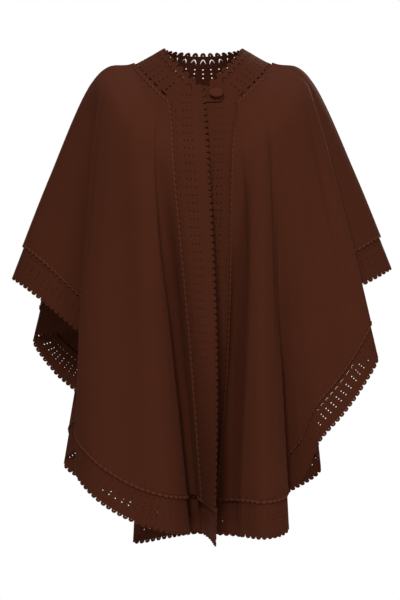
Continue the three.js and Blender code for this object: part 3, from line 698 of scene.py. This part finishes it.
def body_panel(name, first, last, lap_first, lap_last):
    """A body panel between two girths: scalloped laps over the border, plain sewn sides."""
    patch = Patch()
    columns = np.linspace(first + GRID_INSET, last - GRID_INSET, int((last - first) / BODY_CELL))
    top = SEAM_DOWN + GRID_INSET
    bottom = drape.length_at(columns) - SEAM_DOWN - GRID_INSET
    rows = [patch.add(columns, top + (bottom - top) * k / BODY_ROWS) for k in range(BODY_ROWS + 1)]
    grid = np.array(rows)
    corners = (grid[:-1, :-1], grid[:-1, 1:], grid[1:, 1:], grid[1:, :-1])
    for a, b, c, d in zip(*(corner.ravel() for corner in corners)):
        patch.triangles += [(a, b, c), (a, c, d)]
    inner = {"top": grid[0], "bottom": grid[-1], "first": grid[:, 0], "last": grid[:, -1]}
    for inward, lift, lap_highlight in LAP_ROLL:
        loop = patch.add_loop(panel_sides(first, last, lap_first, lap_last, inward), lift, lap_highlight)
        patch.join_loops(loop, inner)
        inner = loop
    made = shell(name, np.array(patch.girth), np.array(patch.down), np.array(patch.triangles),
                 np.array(patch.lift))
    # Painted highlight: a share stored on each point that makes the lap ridges paler in the material
    highlight_attribute = made.data.attributes.new("lap_highlight", "FLOAT", "POINT")
    highlight_attribute.data.foreach_set("value", np.array(patch.lap_highlight * 2, np.float32))
    return made


# Repeats made with Geometry Nodes
def node_tree(name, inputs):
    """A Geometry Nodes tree with the named inputs, and a maker of its nodes."""
    tree = bpy.data.node_groups.new(name, "GeometryNodeTree")
    tree.is_modifier = True
    tree.interface.new_socket("Geometry", in_out="INPUT", socket_type="NodeSocketGeometry")
    for label, kind in inputs:
        tree.interface.new_socket(label, in_out="INPUT", socket_type=kind)
    tree.interface.new_socket("Geometry", in_out="OUTPUT", socket_type="NodeSocketGeometry")

    def node(kind, settings=None, links=None):
        made = tree.nodes.new(kind)
        for key, value in (settings or {}).items():
            setattr(made, key, value)
        for key, value in (links or {}).items():
            if isinstance(value, bpy.types.NodeSocket):
                tree.links.new(value, made.inputs[key])
            else:
                made.inputs[key].default_value = value
        return made.outputs

    return tree, node


def through_tree(made, tree, values):
    """The mesh that a tree makes from an object, with its inputs set by socket."""
    modifier = made.modifiers.new(tree.name, "NODES")
    modifier.node_group = tree
    for item in tree.interface.items_tree:
        if item.in_out == "INPUT" and item.name in values:
            modifier[item.identifier] = values[item.name]
    graph = bpy.context.evaluated_depsgraph_get()
    mesh = bpy.data.meshes.new_from_object(made.evaluated_get(graph))
    made.modifiers.remove(modifier)
    return mesh


def repeat_tree():
    """Copies a border tile along a line and joins the copies."""
    tree, node = node_tree("border_repeat", [
        ("Count", "NodeSocketInt"), ("Pitch", "NodeSocketFloat"),
        ("Join Distance", "NodeSocketFloat"), ("Cloth", "NodeSocketMaterial")])
    given = node("NodeGroupInput")
    step = node("ShaderNodeCombineXYZ", links={"X": given["Pitch"]})
    line = node("GeometryNodeMeshLine", {"mode": "OFFSET"},
                {"Count": given["Count"], "Offset": step[0]})
    copies = node("GeometryNodeInstanceOnPoints",
                  links={"Points": line[0], "Instance": given["Geometry"]})
    real = node("GeometryNodeRealizeInstances", links={"Geometry": copies[0]})
    joined = node("GeometryNodeMergeByDistance",
                  links={"Geometry": real[0], "Distance": given["Join Distance"]})
    clothed = node("GeometryNodeSetMaterial",
                   links={"Geometry": joined[0], "Material": given["Cloth"]})
    node("NodeGroupOutput", links={"Geometry": clothed[0]})
    return tree


def triangles_of(mesh):
    """Points in millimetres and triangles of a mesh."""
    points = np.empty(len(mesh.vertices) * 3)
    mesh.vertices.foreach_get("co", points)
    mesh.calc_loop_triangles()
    triangles = np.empty(len(mesh.loop_triangles) * 3, int)
    mesh.loop_triangles.foreach_get("vertices", triangles)
    return points.reshape(-1, 3) / MM, triangles.reshape(-1, 3)


REPEAT = repeat_tree()


def repeated(tile, count, pitch, cloth):
    """Flat points and triangles of a tile repeated side by side."""
    points, triangles = tile
    seed = mesh_object("tile", np.column_stack([points, np.zeros(len(points))]), triangles)
    mesh = through_tree(seed, REPEAT, {"Count": count, "Pitch": pitch * MM,
                                       "Join Distance": JOIN_GAP * MM, "Cloth": cloth})
    flat, faces = triangles_of(mesh)
    bpy.data.meshes.remove(mesh)
    bpy.data.objects.remove(seed)
    return flat[:, :2], faces


def join(parts):
    """One list of girths, downs and triangles from several."""
    girth, down, triangles = [], [], []
    start = 0
    for g, d, t in parts:
        girth.append(g)
        down.append(d)
        triangles.append(t + start)
        start += len(g)
    return np.concatenate(girth), np.concatenate(down), np.concatenate(triangles)


# Hem border
def hem_lean():
    """How far the girth shifts for each millimetre inward, so that columns stand square to the hem."""
    middle = drape.lengths - BORDER_WIDTH / 2
    girths = drape.girths
    reach = HEM_LEAN["reach"]
    across = np.gradient(drape.place(girths, middle)[0], axis=0) / (girths[1] - girths[0])
    inward = drape.place(girths, middle - reach)[0] - drape.place(girths, middle + reach)[0]
    inward /= 2 * reach
    lean = (across * inward).sum(1) / (across * across).sum(1)
    window = np.hanning(int(HEM_LEAN["smooth"] / GIRTH_STEP))
    lean = np.pad(np.clip(lean, -HEM_LEAN["most"], HEM_LEAN["most"]), len(window) // 2, mode="edge")
    lean = np.convolve(lean, window / window.sum(), mode="valid")[:len(girths)]
    slack = HEM_LEAN["rate"] * np.abs(girths[:, None] - girths[None])
    return ((lean + slack).min(1) + (lean - slack).max(1)) / 2


LEAN = hem_lean()


def hem_offset(girth):
    """The hem border lies under the body, one layer deeper where the front border ends on it."""
    from_right = (girth - RIGHT_SEAM - SEAM_LAP) / HEM_TUCK_EASE
    from_left = (LEFT_SEAM - SEAM_LAP - girth) / HEM_TUCK_EASE
    return -LAYER_STEP * (2 - ease(np.minimum(from_right, from_left)))


def hem_places(flat, total, first, last, mirrored):
    """Girth and down of flat border points; total is the flat length between the two girths."""
    run_a, run_b = np.interp([first, last], drape.girths, drape.hem_run)
    along = total - flat[:, 0] if mirrored else flat[:, 0]
    edge = np.interp(run_a + along / total * (run_b - run_a), drape.hem_run, drape.girths)
    most = HEM_LEAN["rate"] * np.minimum(edge - first, last - edge)
    lean = np.clip(np.interp(edge, drape.girths, LEAN), -most, most)
    girth = np.clip(edge - flat[:, 1] * lean, first, last)
    return girth, drape.length_at(girth) - flat[:, 1]


def hem_border(name, first, last, front_end, cloth):
    """A length of hem border and its run; front_end is None, "first" or "last"."""
    run_a, run_b = np.interp([first, last], drape.girths, drape.hem_run)
    count = int(round((run_b - run_a) / TILE_LENGTH))
    tile = border_tile(straight_side())
    if front_end:
        end_points, end_faces = front_end_tile()
        flat, faces = repeated(tile, count - 1, TILE_LENGTH, cloth)
        flat = np.concatenate([end_points, flat + (TILE_LENGTH, 0)])
        faces = np.concatenate([end_faces, faces + len(end_points)])
    else:
        flat, faces = repeated(tile, count, TILE_LENGTH, cloth)
    girth, down = hem_places(flat, count * TILE_LENGTH, first, last, front_end == "last")
    girth, down, faces = weld(girth, down, faces, np.column_stack([flat, np.zeros(len(flat))]))
    return shell(name, girth, down, faces, hem_offset(girth)), run_b - run_a


# Neck and front border. The cloth is sampled across the strip and down from the neck, and
# down the front edge; the search for the corner's points starts between two depths.
STRIP_LOOK = {"places": 25, "deepest": 300, "samples": 601}
EDGE_LOOK = {"deepest": 120, "samples": 241}
CORNER_DEPTHS = (5, 140)


class FrontStrip:
    """The front part of the border on one side; side is 1 on the right front, -1 on the left."""

    def __init__(self, side):
        self.side = side
        self.edge = 0.0 if side > 0 else GIRTH_END
        self.lap = RIGHT_SEAM + SEAM_LAP if side > 0 else LEFT_SEAM - SEAM_LAP
        self.width_share = abs(self.lap - self.edge) / BORDER_WIDTH
        self.length = float(drape.length_at(self.edge))
        self.top = NECK_CORNER["balls"] * BALL["pitch"]
        level = drape.place([self.edge], [self.top])[0][0, 2]
        share = self.top / self.length
        downs = np.linspace(0, STRIP_LOOK["deepest"], STRIP_LOOK["samples"])
        self.sides = np.linspace(0, BORDER_WIDTH, STRIP_LOOK["places"])
        self.rise = np.empty(len(self.sides))
        for k, side_place in enumerate(self.sides):
            girth = self.girth_of(side_place)
            heights = drape.place(np.full(len(downs), girth), downs)[0][:, 2]
            down = np.interp(-level, -heights, downs)
            rest = (drape.length_at(girth) - self.length) * share
            self.rise[k] = (down - self.top - rest) / (1 - share)

    def girth_of(self, side_place):
        return self.edge + self.side * side_place * self.width_share

    def down_of(self, side_place, along):
        """Down from the neck at a distance from the front edge, level across at the strip's top."""
        share = along / self.length
        rest = drape.length_at(self.girth_of(side_place)) - self.length
        return along + np.interp(side_place, self.sides, self.rise) * (1 - share) + rest * share

    def strip(self, cloth):
        """The long part below the corner, down to its lap over the hem border."""
        reach = self.length - TILE_LENGTH - self.top
        count = int(round(reach / TILE_LENGTH))
        scale = reach / (count * TILE_LENGTH)
        flat, faces = repeated(border_tile(straight_side()), count - 1, TILE_LENGTH, cloth)
        end, end_faces = border_tile(scalloped_side())
        faces = np.concatenate([faces, end_faces + len(flat)])
        flat = np.concatenate([flat, end + ((count - 1) * TILE_LENGTH, 0)])
        along = self.top + flat[:, 0] * scale
        return self.girth_of(flat[:, 1]), self.down_of(flat[:, 1], along), faces

    def front_view(self, girth, down):
        return drape.place(girth, down)[0][:, [0, 2]]

    def shared_points(self, start, pitch, count):
        """Girth and down along the neck edge, the neck ring and the top of the strip."""
        known = []
        line = ball_line(dict(NECK_BALL, pitch=abs(pitch)), count)
        for along, y in line[BALL_POINTS + 1:]:
            run = start + math.copysign(along, pitch)
            known.append((float(np.interp(run, drape.neck_run, drape.girths)), y))
        known += [(self.lap, y) for y in side_places(NECK_BALL)[1:]]
        rest = float(self.down_of(BORDER_WIDTH, self.top)) - BORDER_WIDTH
        steps = max(2, int(round(rest / SIDE_STEP)))
        known += [(self.lap, BORDER_WIDTH + rest * k / steps) for k in range(1, steps)]
        known += [(self.girth_of(y), float(self.down_of(y, self.top)))
                  for y in side_places(BALL)[::-1]]
        return np.array(known)

    def corner_holes(self, from_edge, start, pitch, count):
        """Eyelets, columns and slits beside the front edge, and those of the neck balls."""
        holes = []
        for k in range(1, NECK_CORNER["balls"]):
            spot = from_edge(BALL["radius"], (k + 0.5) * BALL["pitch"])
            holes.append(circle(*spot, BALL["eyelet"]))
        for k in range(NECK_CORNER["columns"]):
            along = self.top - (k + 0.5) * COLUMN_PITCH
            holes += [circle(*from_edge(y, along), HOLE_RADIUS) for y in COLUMN_HOLES]
            if k < NECK_CORNER["slits"]:
                x, z = from_edge(SEAM_SLIT["y"], along)
                bent = slit(0, 0, SEAM_SLIT)
                holes.append(np.stack([x - self.side * bent[:, 1], z + bent[:, 0]], -1))
        for k in range(1, count):
            run = start + (k + 0.5) * pitch
            for flat in (circle(0, NECK_BALL["radius"], NECK_BALL["eyelet"]),
                         slit(0, NECK_ARCH["y"], NECK_ARCH)):
                girth = np.interp(run + flat[:, 0], drape.neck_run, drape.girths)
                holes.append(self.front_view(girth, flat[:, 1]))
        return holes

    def corner(self):
        """The part by the neck, from the front edge to the neck ring, above the strip."""
        start, end = np.interp([self.edge, self.lap], drape.girths, drape.neck_run)
        count = max(1, int(round(abs(end - start) / NECK_BALL["pitch"])))
        pitch = (end - start) / count
        known = self.shared_points(start, pitch, count)
        shape = list(self.front_view(known[:, 0], known[:, 1]))
        edge_downs = np.linspace(0, EDGE_LOOK["deepest"], EDGE_LOOK["samples"])
        edge_line = self.front_view(np.full(len(edge_downs), self.edge), edge_downs)

        def from_edge(side_place, along):
            x = np.interp(along, edge_downs, edge_line[:, 0])
            z = np.interp(along, edge_downs, edge_line[:, 1])
            return x - self.side * side_place, z

        free = [from_edge(y, self.top - along)
                for along, y in ball_line(BALL, NECK_CORNER["balls"] - 1)[1:]]
        ball = NECK_BALL["radius"]
        centre_x, centre_z = from_edge(ball + NECK_CORNER["inset"], NECK_CORNER["drop"])
        for turn in np.radians(np.linspace(*NECK_CORNER["turn"], NECK_CORNER["points"])):
            free.append((centre_x + self.side * ball * math.cos(turn),
                         centre_z + ball * math.sin(turn)))
        outline = np.array(shape + free)
        clear = []
        taken = [outline]
        eyelet = circle(centre_x, centre_z, BALL["eyelet"])
        for hole in [eyelet] + self.corner_holes(from_edge, start, pitch, count):
            apart = min(np.linalg.norm(hole[:, None] - other[None], axis=2).min() for other in taken)
            if apart > NECK_CORNER["hole_gap"] and inside(hole, outline).all():
                clear.append(hole)
                taken.append(hole)
        flat, faces = fill(outline, clear)
        low, high = sorted((self.edge, self.lap))
        side_x = outline[:, 0].max() if self.side > 0 else outline[:, 0].min()
        share = np.clip((flat[:, 0] - side_x) / (-self.side * BORDER_WIDTH), 0, 1)
        guess_down = np.clip(edge_line[0, 1] - flat[:, 1], *CORNER_DEPTHS)
        girth, down = drape.find_from_front(flat[:, 0], flat[:, 1], self.girth_of(share * BORDER_WIDTH),
                                            guess_down, low, high)
        girth[:len(known)] = known[:, 0]
        down[:len(known)] = known[:, 1]
        return girth, down, faces


def ring_widening(first, last):
    """How much the neck border between two girths widens at each distance from the edge."""
    girths = np.linspace(first, last, RING_SAMPLES)
    places = np.linspace(0, BORDER_WIDTH, RING_PLACES)
    widths = [Drape.run_of(drape.place(girths, np.full(len(girths), y))[0])[-1] for y in places]
    return lambda y: float(np.interp(y, places, widths)) / widths[0]


def neck_ring(first, last, cloth):
    """The part of the neck border between two girths."""
    runs = np.interp([first, last], drape.girths, drape.neck_run)
    count = int(round((runs[1] - runs[0]) / NECK_BALL["pitch"]))
    tile = neck_tile(ring_widening(first, last))
    flat, faces = repeated(tile, count, NECK_BALL["pitch"], cloth)
    run = np.interp(flat[:, 0] / (count * NECK_BALL["pitch"]), [0, 1], runs)
    return np.interp(run, drape.neck_run, drape.girths), flat[:, 1], faces


def spread_out(length, spacing):
    """Places at even spacing on both sides of the middle of a length."""
    count = int((length / 2 - spacing / 2) / spacing)
    return length / 2 + spacing * np.arange(-count, count + 1)


def back_ring():
    """The neck border behind the shoulders, whose holes stand as far apart as its balls."""
    runs = np.interp([RIGHT_NECK_JOIN, CENTRE_BACK, LEFT_NECK_JOIN], drape.girths, drape.neck_run)
    pitch = NECK_BALL["pitch"]
    count = int(round((runs[2] - runs[0]) / pitch))
    count += 1 - count % 2
    length = count * pitch
    widened = ring_widening(RIGHT_NECK_JOIN, LEFT_NECK_JOIN)

    def scale(y):
        return (runs[2] - runs[0]) / length * widened(y)

    sides = side_places(NECK_BALL)
    outline = ball_line(NECK_BALL, count)
    outline += [(length, y) for y in sides[1:]]
    outline += [(x, BORDER_WIDTH) for x in np.arange(length - SIDE_STEP / 2, 1, -SIDE_STEP / 2)]
    outline += [(0.0, y) for y in sides[:0:-1]]
    ball = NECK_BALL["radius"]
    holes = [circle((k + 0.5) * pitch, ball, NECK_BALL["eyelet"], stretch=scale(ball))
             for k in range(count)]
    arch_scale = scale(NECK_ARCH["y"] + NECK_ARCH["rise"] / 2)
    for x in spread_out(length, BACK_ARCH_PITCH / arch_scale):
        holes.append(slit(x, NECK_ARCH["y"], NECK_ARCH, arch_scale, NECK_ARCH_POINTS))
    for x in spread_out(length, BACK_COLUMN_PITCH / scale(NECK_COLUMN_HOLES[1])):
        holes += [circle(x, y, NECK_HOLE_RADIUS, stretch=scale(y)) for y in NECK_COLUMN_HOLES]
    flat, faces = fill(outline, holes, NECK_FILL_STEP)
    run = np.interp(flat[:, 0] / length, [0, 0.5, 1], runs)
    return np.interp(run, drape.neck_run, drape.girths), flat[:, 1], faces


def neck_and_front_border(name, side, cloth):
    """Front strip, corner, and neck ring to behind the shoulder."""
    strip = FrontStrip(side)
    ends = (strip.lap, RIGHT_NECK_JOIN) if side > 0 else (LEFT_NECK_JOIN, strip.lap)
    girth, down, faces = join([strip.strip(cloth), strip.corner(), neck_ring(*ends, cloth)])
    girth, down, faces = weld(girth, down, faces, drape.place(girth, down)[0])
    return shell(name, girth, down, faces, -LAYER_STEP)


def back_neck_border(name):
    """The neck border behind the shoulders."""
    return shell(name, *back_ring(), -LAYER_STEP)


# Button and tab; x and z are places in the front view
BUTTON = {"x": 24, "z": -65, "radius": 12.6, "back_radius": 9.6, "edge": 2.4, "crown": 5.0,
          "stand_off": 3.4, "width_share": 1.07, "height_share": 0.84, "tilt": 20,
          "shank_radius": 3.0, "shank_end": -0.2, "flat_share": 0.6, "flat_rise": 0.1,
          "turn": (-70, 90), "steps": 20, "dome_power": 0.8, "around": 64}
TAB = {"start": -4, "end": 38, "z": -68, "half": 11.5, "offset": 0.9, "end_lift": 1.0,
       "thickness": 2.0, "long_points": 12, "end_points": 25, "short_points": 9}
TAB_SEARCH = {"from_edge": 30.0, "down": 30.0, "reach": 200}


def on_left_front(x, z):
    """Girth and down where the left front passes the front positions x, z."""
    guess_girth = np.full(len(x), GIRTH_END - TAB_SEARCH["from_edge"])
    guess_down = np.full(len(x), TAB_SEARCH["down"])
    return drape.find_from_front(x, z, guess_girth, guess_down,
                                 GIRTH_END - TAB_SEARCH["reach"], GIRTH_END)


def tab_offset(x):
    """The tab lies on the border where it starts, and its round end lifts a little."""
    return TAB["offset"] + TAB["end_lift"] * ease((x - TAB["start"]) / (TAB["end"] - TAB["start"]))


def button_tab(name):
    """A strip with a rounded end that follows the left front."""
    start = TAB["start"]
    half = TAB["half"]
    bend = TAB["end"] - half
    outline = [(x, TAB["z"] - half) for x in np.linspace(start, bend, TAB["long_points"])]
    for turn in np.radians(np.linspace(-90, 90, TAB["end_points"])[1:-1]):
        outline.append((bend + half * math.cos(turn), TAB["z"] + half * math.sin(turn)))
    outline += [(x, TAB["z"] + half) for x in np.linspace(bend, start, TAB["long_points"])]
    outline += [(start, TAB["z"] + h) for h in np.linspace(half, -half, TAB["short_points"])[1:-1]]
    flat, faces = fill(outline, [], TAB_FILL_STEP)
    girth, down = on_left_front(flat[:, 0], flat[:, 1])
    return shell(name, girth, down, faces, tab_offset(flat[:, 0]), TAB["thickness"])


def button_profile():
    """Radius and height of the button, from the foot of its shank to the top of its dome."""
    shank = BUTTON["shank_radius"]
    back = BUTTON["back_radius"]
    edge = BUTTON["edge"]
    foot = -BUTTON["stand_off"]
    profile = [(0.0, foot), (shank, foot), (shank, BUTTON["shank_end"]),
               (back * BUTTON["flat_share"], 0.0), (back, BUTTON["flat_rise"])]
    for turn in np.radians(np.linspace(*BUTTON["turn"], BUTTON["steps"]))[:-1]:
        if turn > 0:
            radius = BUTTON["radius"] * math.cos(turn) ** BUTTON["dome_power"]
            height = edge + (BUTTON["crown"] - edge) * math.sin(turn)
        else:
            radius = back + (BUTTON["radius"] - back) * math.cos(turn)
            height = edge * (1 + math.sin(turn))
        profile.append((radius, height))
    profile.append((0.0, BUTTON["crown"]))
    return profile


def covered_button(name):
    """A cloth-covered dome on a short thread shank, tipped up a little on the tab."""
    profile = button_profile()
    rings = profile[1:-1]
    around = BUTTON["around"]
    girth, down = on_left_front(np.array([BUTTON["x"]], float), np.array([BUTTON["z"]], float))
    spot, normal = (found[0] for found in drape.place(girth, down))
    side = np.cross(normal, (0, 0, 1))
    side /= np.linalg.norm(side)
    up = np.cross(side, normal)
    tilt = math.radians(BUTTON["tilt"])
    face = normal * math.cos(tilt) + up * math.sin(tilt)
    up = (up * math.cos(tilt) - normal * math.sin(tilt)) * BUTTON["height_share"]
    side = side * BUTTON["width_share"]
    base = spot + normal * (tab_offset(BUTTON["x"]) + TAB["thickness"] / 2 + BUTTON["stand_off"])
    points = [base + face * profile[0][1]]
    for radius, height in rings:
        for k in range(around):
            turn = 2 * math.pi * k / around
            points.append(base + face * height
                          + radius * (side * math.cos(turn) + up * math.sin(turn)))
    points.append(base + face * profile[-1][1])
    faces = []
    last = len(points) - 1
    top = last - around
    for k in range(around):
        after = (k + 1) % around
        faces.append((0, 1 + k, 1 + after))
        for a in range(1, top, around):
            b = a + around
            faces += [(a + k, b + k, b + after), (a + k, b + after, a + after)]
        faces.append((top + k, last, top + after))
    return mesh_object(name, points, faces)


# Materials
class Value:
    """A number from a node that can be added and multiplied."""

    def __init__(self, finish, socket):
        self.finish = finish
        self.socket = socket

    def joined(self, operation, first, second):
        made = self.finish.node("ShaderNodeMath", {"operation": operation}, {0: first, 1: second})
        return Value(self.finish, made[0])

    def __add__(self, other):
        return self.joined("ADD", self, other)

    def __mul__(self, other):
        return self.joined("MULTIPLY", self, other)

    __radd__ = __add__
    __rmul__ = __mul__


class Finish:
    """A material under construction."""

    def __init__(self, name):
        self.material = bpy.data.materials.new(name)
        self.material.use_nodes = True
        self.tree = self.material.node_tree
        self.tree.nodes.clear()
        self.place = self.node("ShaderNodeTexCoord")["Object"]

    def node(self, kind, settings=None, links=None):
        made = self.tree.nodes.new(kind)
        for key, value in (settings or {}).items():
            setattr(made, key, value)
        for key, value in (links or {}).items():
            if isinstance(value, Value):
                value = value.socket
            if isinstance(value, bpy.types.NodeSocket):
                self.tree.links.new(value, made.inputs[key])
            else:
                made.inputs[key].default_value = value
        return made.outputs

    def noise(self, scale, detail, roughness=0.6, stretch=(1, 1, 1)):
        """Noise from 0 to 1, scale in repeats a metre."""
        place = self.node("ShaderNodeMapping", {}, {"Vector": self.place, "Scale": stretch})[0]
        made = self.node("ShaderNodeTexNoise", {}, {
            "Vector": place, "Scale": scale, "Detail": detail, "Roughness": roughness})
        return Value(self, made["Fac"])

    def attribute(self, name):
        """A number stored on the mesh."""
        return Value(self, self.node("ShaderNodeAttribute", {"attribute_name": name})["Fac"])

    def shade(self, low, high, share):
        """A colour between two, by a share."""
        made = self.node("ShaderNodeMix", {"data_type": "RGBA"}, {0: share, 6: low, 7: high})
        return made[2]

    def surface(self, values):
        """Ends the material in one shader with the values given."""
        made = self.node("ShaderNodeBsdfPrincipled", {}, values)
        self.node("ShaderNodeOutputMaterial", {}, {"Surface": made[0]})
        return self.material


WOOL_TONE = (0.072, 0.0180, 0.0079)
BORDER_SHARE = 0.97
BUTTON_SHARE = 1.06
LOW_SHARE = 0.80
HIGH_SHARE = 1.22
# Painted highlight on the lap ridges: how much lighter the tone is made, and a little pale added
HIGHLIGHT_SHARE = 1.55
HIGHLIGHT_PALE = 0.007
CLOUDS = {"scale": 9.0, "detail": 2.0}
HEATHER = {"scale": 260.0, "detail": 4.0, "roughness": 0.7}
FUZZ = {"scale": 900.0, "detail": 3.0, "roughness": 0.75}
STRANDS = {"scale": 420.0, "detail": 2.0, "stretch": (1.0, 1.0, 0.35)}
SHEEN_TINT = (0.6, 0.25, 0.15, 1.0)


def lit(colour, share, added=0.0):
    """A colour made lighter or darker, with its alpha."""
    return tuple(share * part + added for part in colour) + (1.0,)


def wool(name, tone, fibre, mottle):
    """Milled wool: soft mottling, felted fibre, a faint knit, and a painted highlight that makes the
    lap ridges paler where light would catch them.

    fibre is the depth of the relief in metres, mottle the strength of the broad mottling."""
    finish = Finish(name)
    cloudy = finish.noise(**CLOUDS)
    heather = finish.noise(**HEATHER)
    fuzz = finish.noise(**FUZZ)
    strands = finish.noise(**STRANDS)
    share = 0.25 * mottle * cloudy + 0.5 * heather + 0.25 * fuzz
    # Painted highlight: paler colour on the lap ridges from the stored share, varied by the heather
    # noise
    lap_highlight = 0.6 * finish.attribute("lap_highlight") * (0.6 + 0.8 * heather)
    mottled = finish.shade(lit(tone, LOW_SHARE), lit(tone, HIGH_SHARE), share)
    relief = finish.node("ShaderNodeBump", {}, {
        "Height": 0.6 * fuzz + 0.4 * strands, "Distance": fibre, "Strength": 0.8})
    return finish.surface({
        "Base Color": finish.shade(mottled, lit(tone, HIGHLIGHT_SHARE, HIGHLIGHT_PALE), lap_highlight),
        "Roughness": 0.82 + 0.14 * heather, "Normal": relief[0], "Sheen Weight": 0.06,
        "Sheen Roughness": 0.45, "Sheen Tint": SHEEN_TINT, "Specular IOR Level": 0.08})


body_wool = wool("wool_body", WOOL_TONE, 0.0006, 1.0)
border_wool = wool("wool_border", tuple(BORDER_SHARE * c for c in WOOL_TONE), 0.0006, 0.8)
button_wool = wool("wool_button", tuple(BUTTON_SHARE * c for c in WOOL_TONE), 0.0004, 0.8)


right_panel = body_panel("front_right_panel", RIGHT_SEAM, RIGHT_TIP, True, False)
left_panel = body_panel("front_left_panel", LEFT_TIP, LEFT_SEAM, False, True)
back_panel = body_panel("back_panel", RIGHT_TIP, LEFT_TIP, False, False)
hem_right, right_run = hem_border("hem_border_right_length", 0.0, RIGHT_TIP, "first", border_wool)
hem_left, left_run = hem_border("hem_border_left_length", LEFT_TIP, GIRTH_END, "last", border_wool)
hem_back, back_run = hem_border("hem_border_back_length", RIGHT_TIP, LEFT_TIP, None, border_wool)
border_right = neck_and_front_border("border_right_front", 1, border_wool)
border_left = neck_and_front_border("border_left_front", -1, border_wool)
border_back = back_neck_border("border_neck_back")
tab = button_tab("neck_tab")
button = covered_button("covered_button")

# Each piece, its finish, its material slot and the node that it stands for
PIECES = (
    (right_panel, body_wool, "wool_body", "front_right"),
    (left_panel, body_wool, "wool_body", "front_left"),
    (back_panel, body_wool, "wool_body", "back"),
    (hem_right, border_wool, "wool_border", "hem_border_right"),
    (hem_left, border_wool, "wool_border", "hem_border_left"),
    (hem_back, border_wool, "wool_border", "hem_border_back"),
    (border_right, border_wool, "wool_border", "neck_and_front_border_right"),
    (border_left, border_wool, "wool_border", "neck_and_front_border_left"),
    (border_back, border_wool, "wool_border", "neck_border_back"),
    (tab, border_wool, "wool_border", "button_tab"),
    (button, button_wool, "wool_button", "button"),
)
for piece, cloth, slot, node in PIECES:
    piece.data.materials.append(cloth)
    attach(piece, "root")
    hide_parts(node)

# Floor
FLOOR_Z = -1.25
FLOOR_RADIUS = 1.25
FLOOR_SIDES = 96
FLOOR_TONE = (0.93, 0.93, 0.93)


def floor_finish():
    """A pale matt floor with a faint grain."""
    finish = Finish("pale_floor")
    grain = finish.noise(scale=40.0, detail=3.0)
    colour = finish.shade(lit(FLOOR_TONE, 0.985), lit(FLOOR_TONE, 1.01), grain)
    return finish.surface({"Base Color": colour, "Roughness": 0.7, "Specular IOR Level": 0.1})


floor_points = [(0, 0, FLOOR_Z / MM)]
for k in range(FLOOR_SIDES):
    turn = 2 * math.pi * k / FLOOR_SIDES
    floor_points.append((FLOOR_RADIUS / MM * math.cos(turn), FLOOR_RADIUS / MM * math.sin(turn),
                         FLOOR_Z / MM))
floor_faces = [(0, 1 + k, 1 + (k + 1) % FLOOR_SIDES) for k in range(FLOOR_SIDES)]
floor = mesh_object("floor", floor_points, floor_faces)
floor.data.materials.append(floor_finish())

# Light: a white background to the camera, a dimmer one on the cloth, and four soft lamps
WORLD_LIGHT = 0.20
LAMP_TARGET = (0, 0, -0.45)
world = bpy.data.worlds.new("studio")
bpy.context.scene.world = world
world.use_nodes = True
sky = world.node_tree
sky.nodes.clear()
backgrounds = []
for strength in (WORLD_LIGHT, 1.0):
    background = sky.nodes.new("ShaderNodeBackground")
    background.inputs["Color"].default_value = (1, 1, 1, 1)
    background.inputs["Strength"].default_value = strength
    backgrounds.append(background.outputs[0])
rays = sky.nodes.new("ShaderNodeLightPath")
mix = sky.nodes.new("ShaderNodeMixShader")
out = sky.nodes.new("ShaderNodeOutputWorld")
sky.links.new(rays.outputs["Is Camera Ray"], mix.inputs[0])
sky.links.new(backgrounds[0], mix.inputs[1])
sky.links.new(backgrounds[1], mix.inputs[2])
sky.links.new(mix.outputs[0], out.inputs[0])


def lamp(name, place, target, size, power):
    """A round soft lamp aimed at a target."""
    data = bpy.data.lights.new(name, "AREA")
    data.shape = "DISK"
    data.size = size
    data.energy = power
    made = bpy.data.objects.new(name, data)
    made.location = place
    made.rotation_euler = (Vector(target) - Vector(place)).to_track_quat("-Z", "Y").to_euler()
    bpy.context.scene.collection.objects.link(made)


# Name, place, target, width in metres and power in watts
lamp("key", (-0.5, -3.0, 1.7), LAMP_TARGET, 0.8, 70)
lamp("fill_right", (2.0, -2.4, 0.3), LAMP_TARGET, 1.4, 20)
lamp("top", (0, 0.3, 1.8), (0, 0, -0.4), 1.4, 12)
lamp("back_fill", (1.6, 2.4, 1.1), LAMP_TARGET, 1.2, 42)

# Camera: the photograph's frame is 1.14 m high at the cape's middle
CAMERA_PLACE = (-0.006, -3.5, -0.445)
FRAME_HEIGHT = 1.14
SENSOR = 24.0
camera_data = bpy.data.cameras.new("camera")
camera_data.sensor_fit = "VERTICAL"
camera_data.sensor_height = SENSOR
camera_data.lens = SENSOR * abs(CAMERA_PLACE[1]) / FRAME_HEIGHT
camera = bpy.data.objects.new("camera", camera_data)
camera.location = CAMERA_PLACE
camera.rotation_euler = (math.radians(90), 0, 0)
bpy.context.scene.collection.objects.link(camera)
bpy.context.scene.camera = camera
bpy.context.scene.view_settings.view_transform = "Standard"
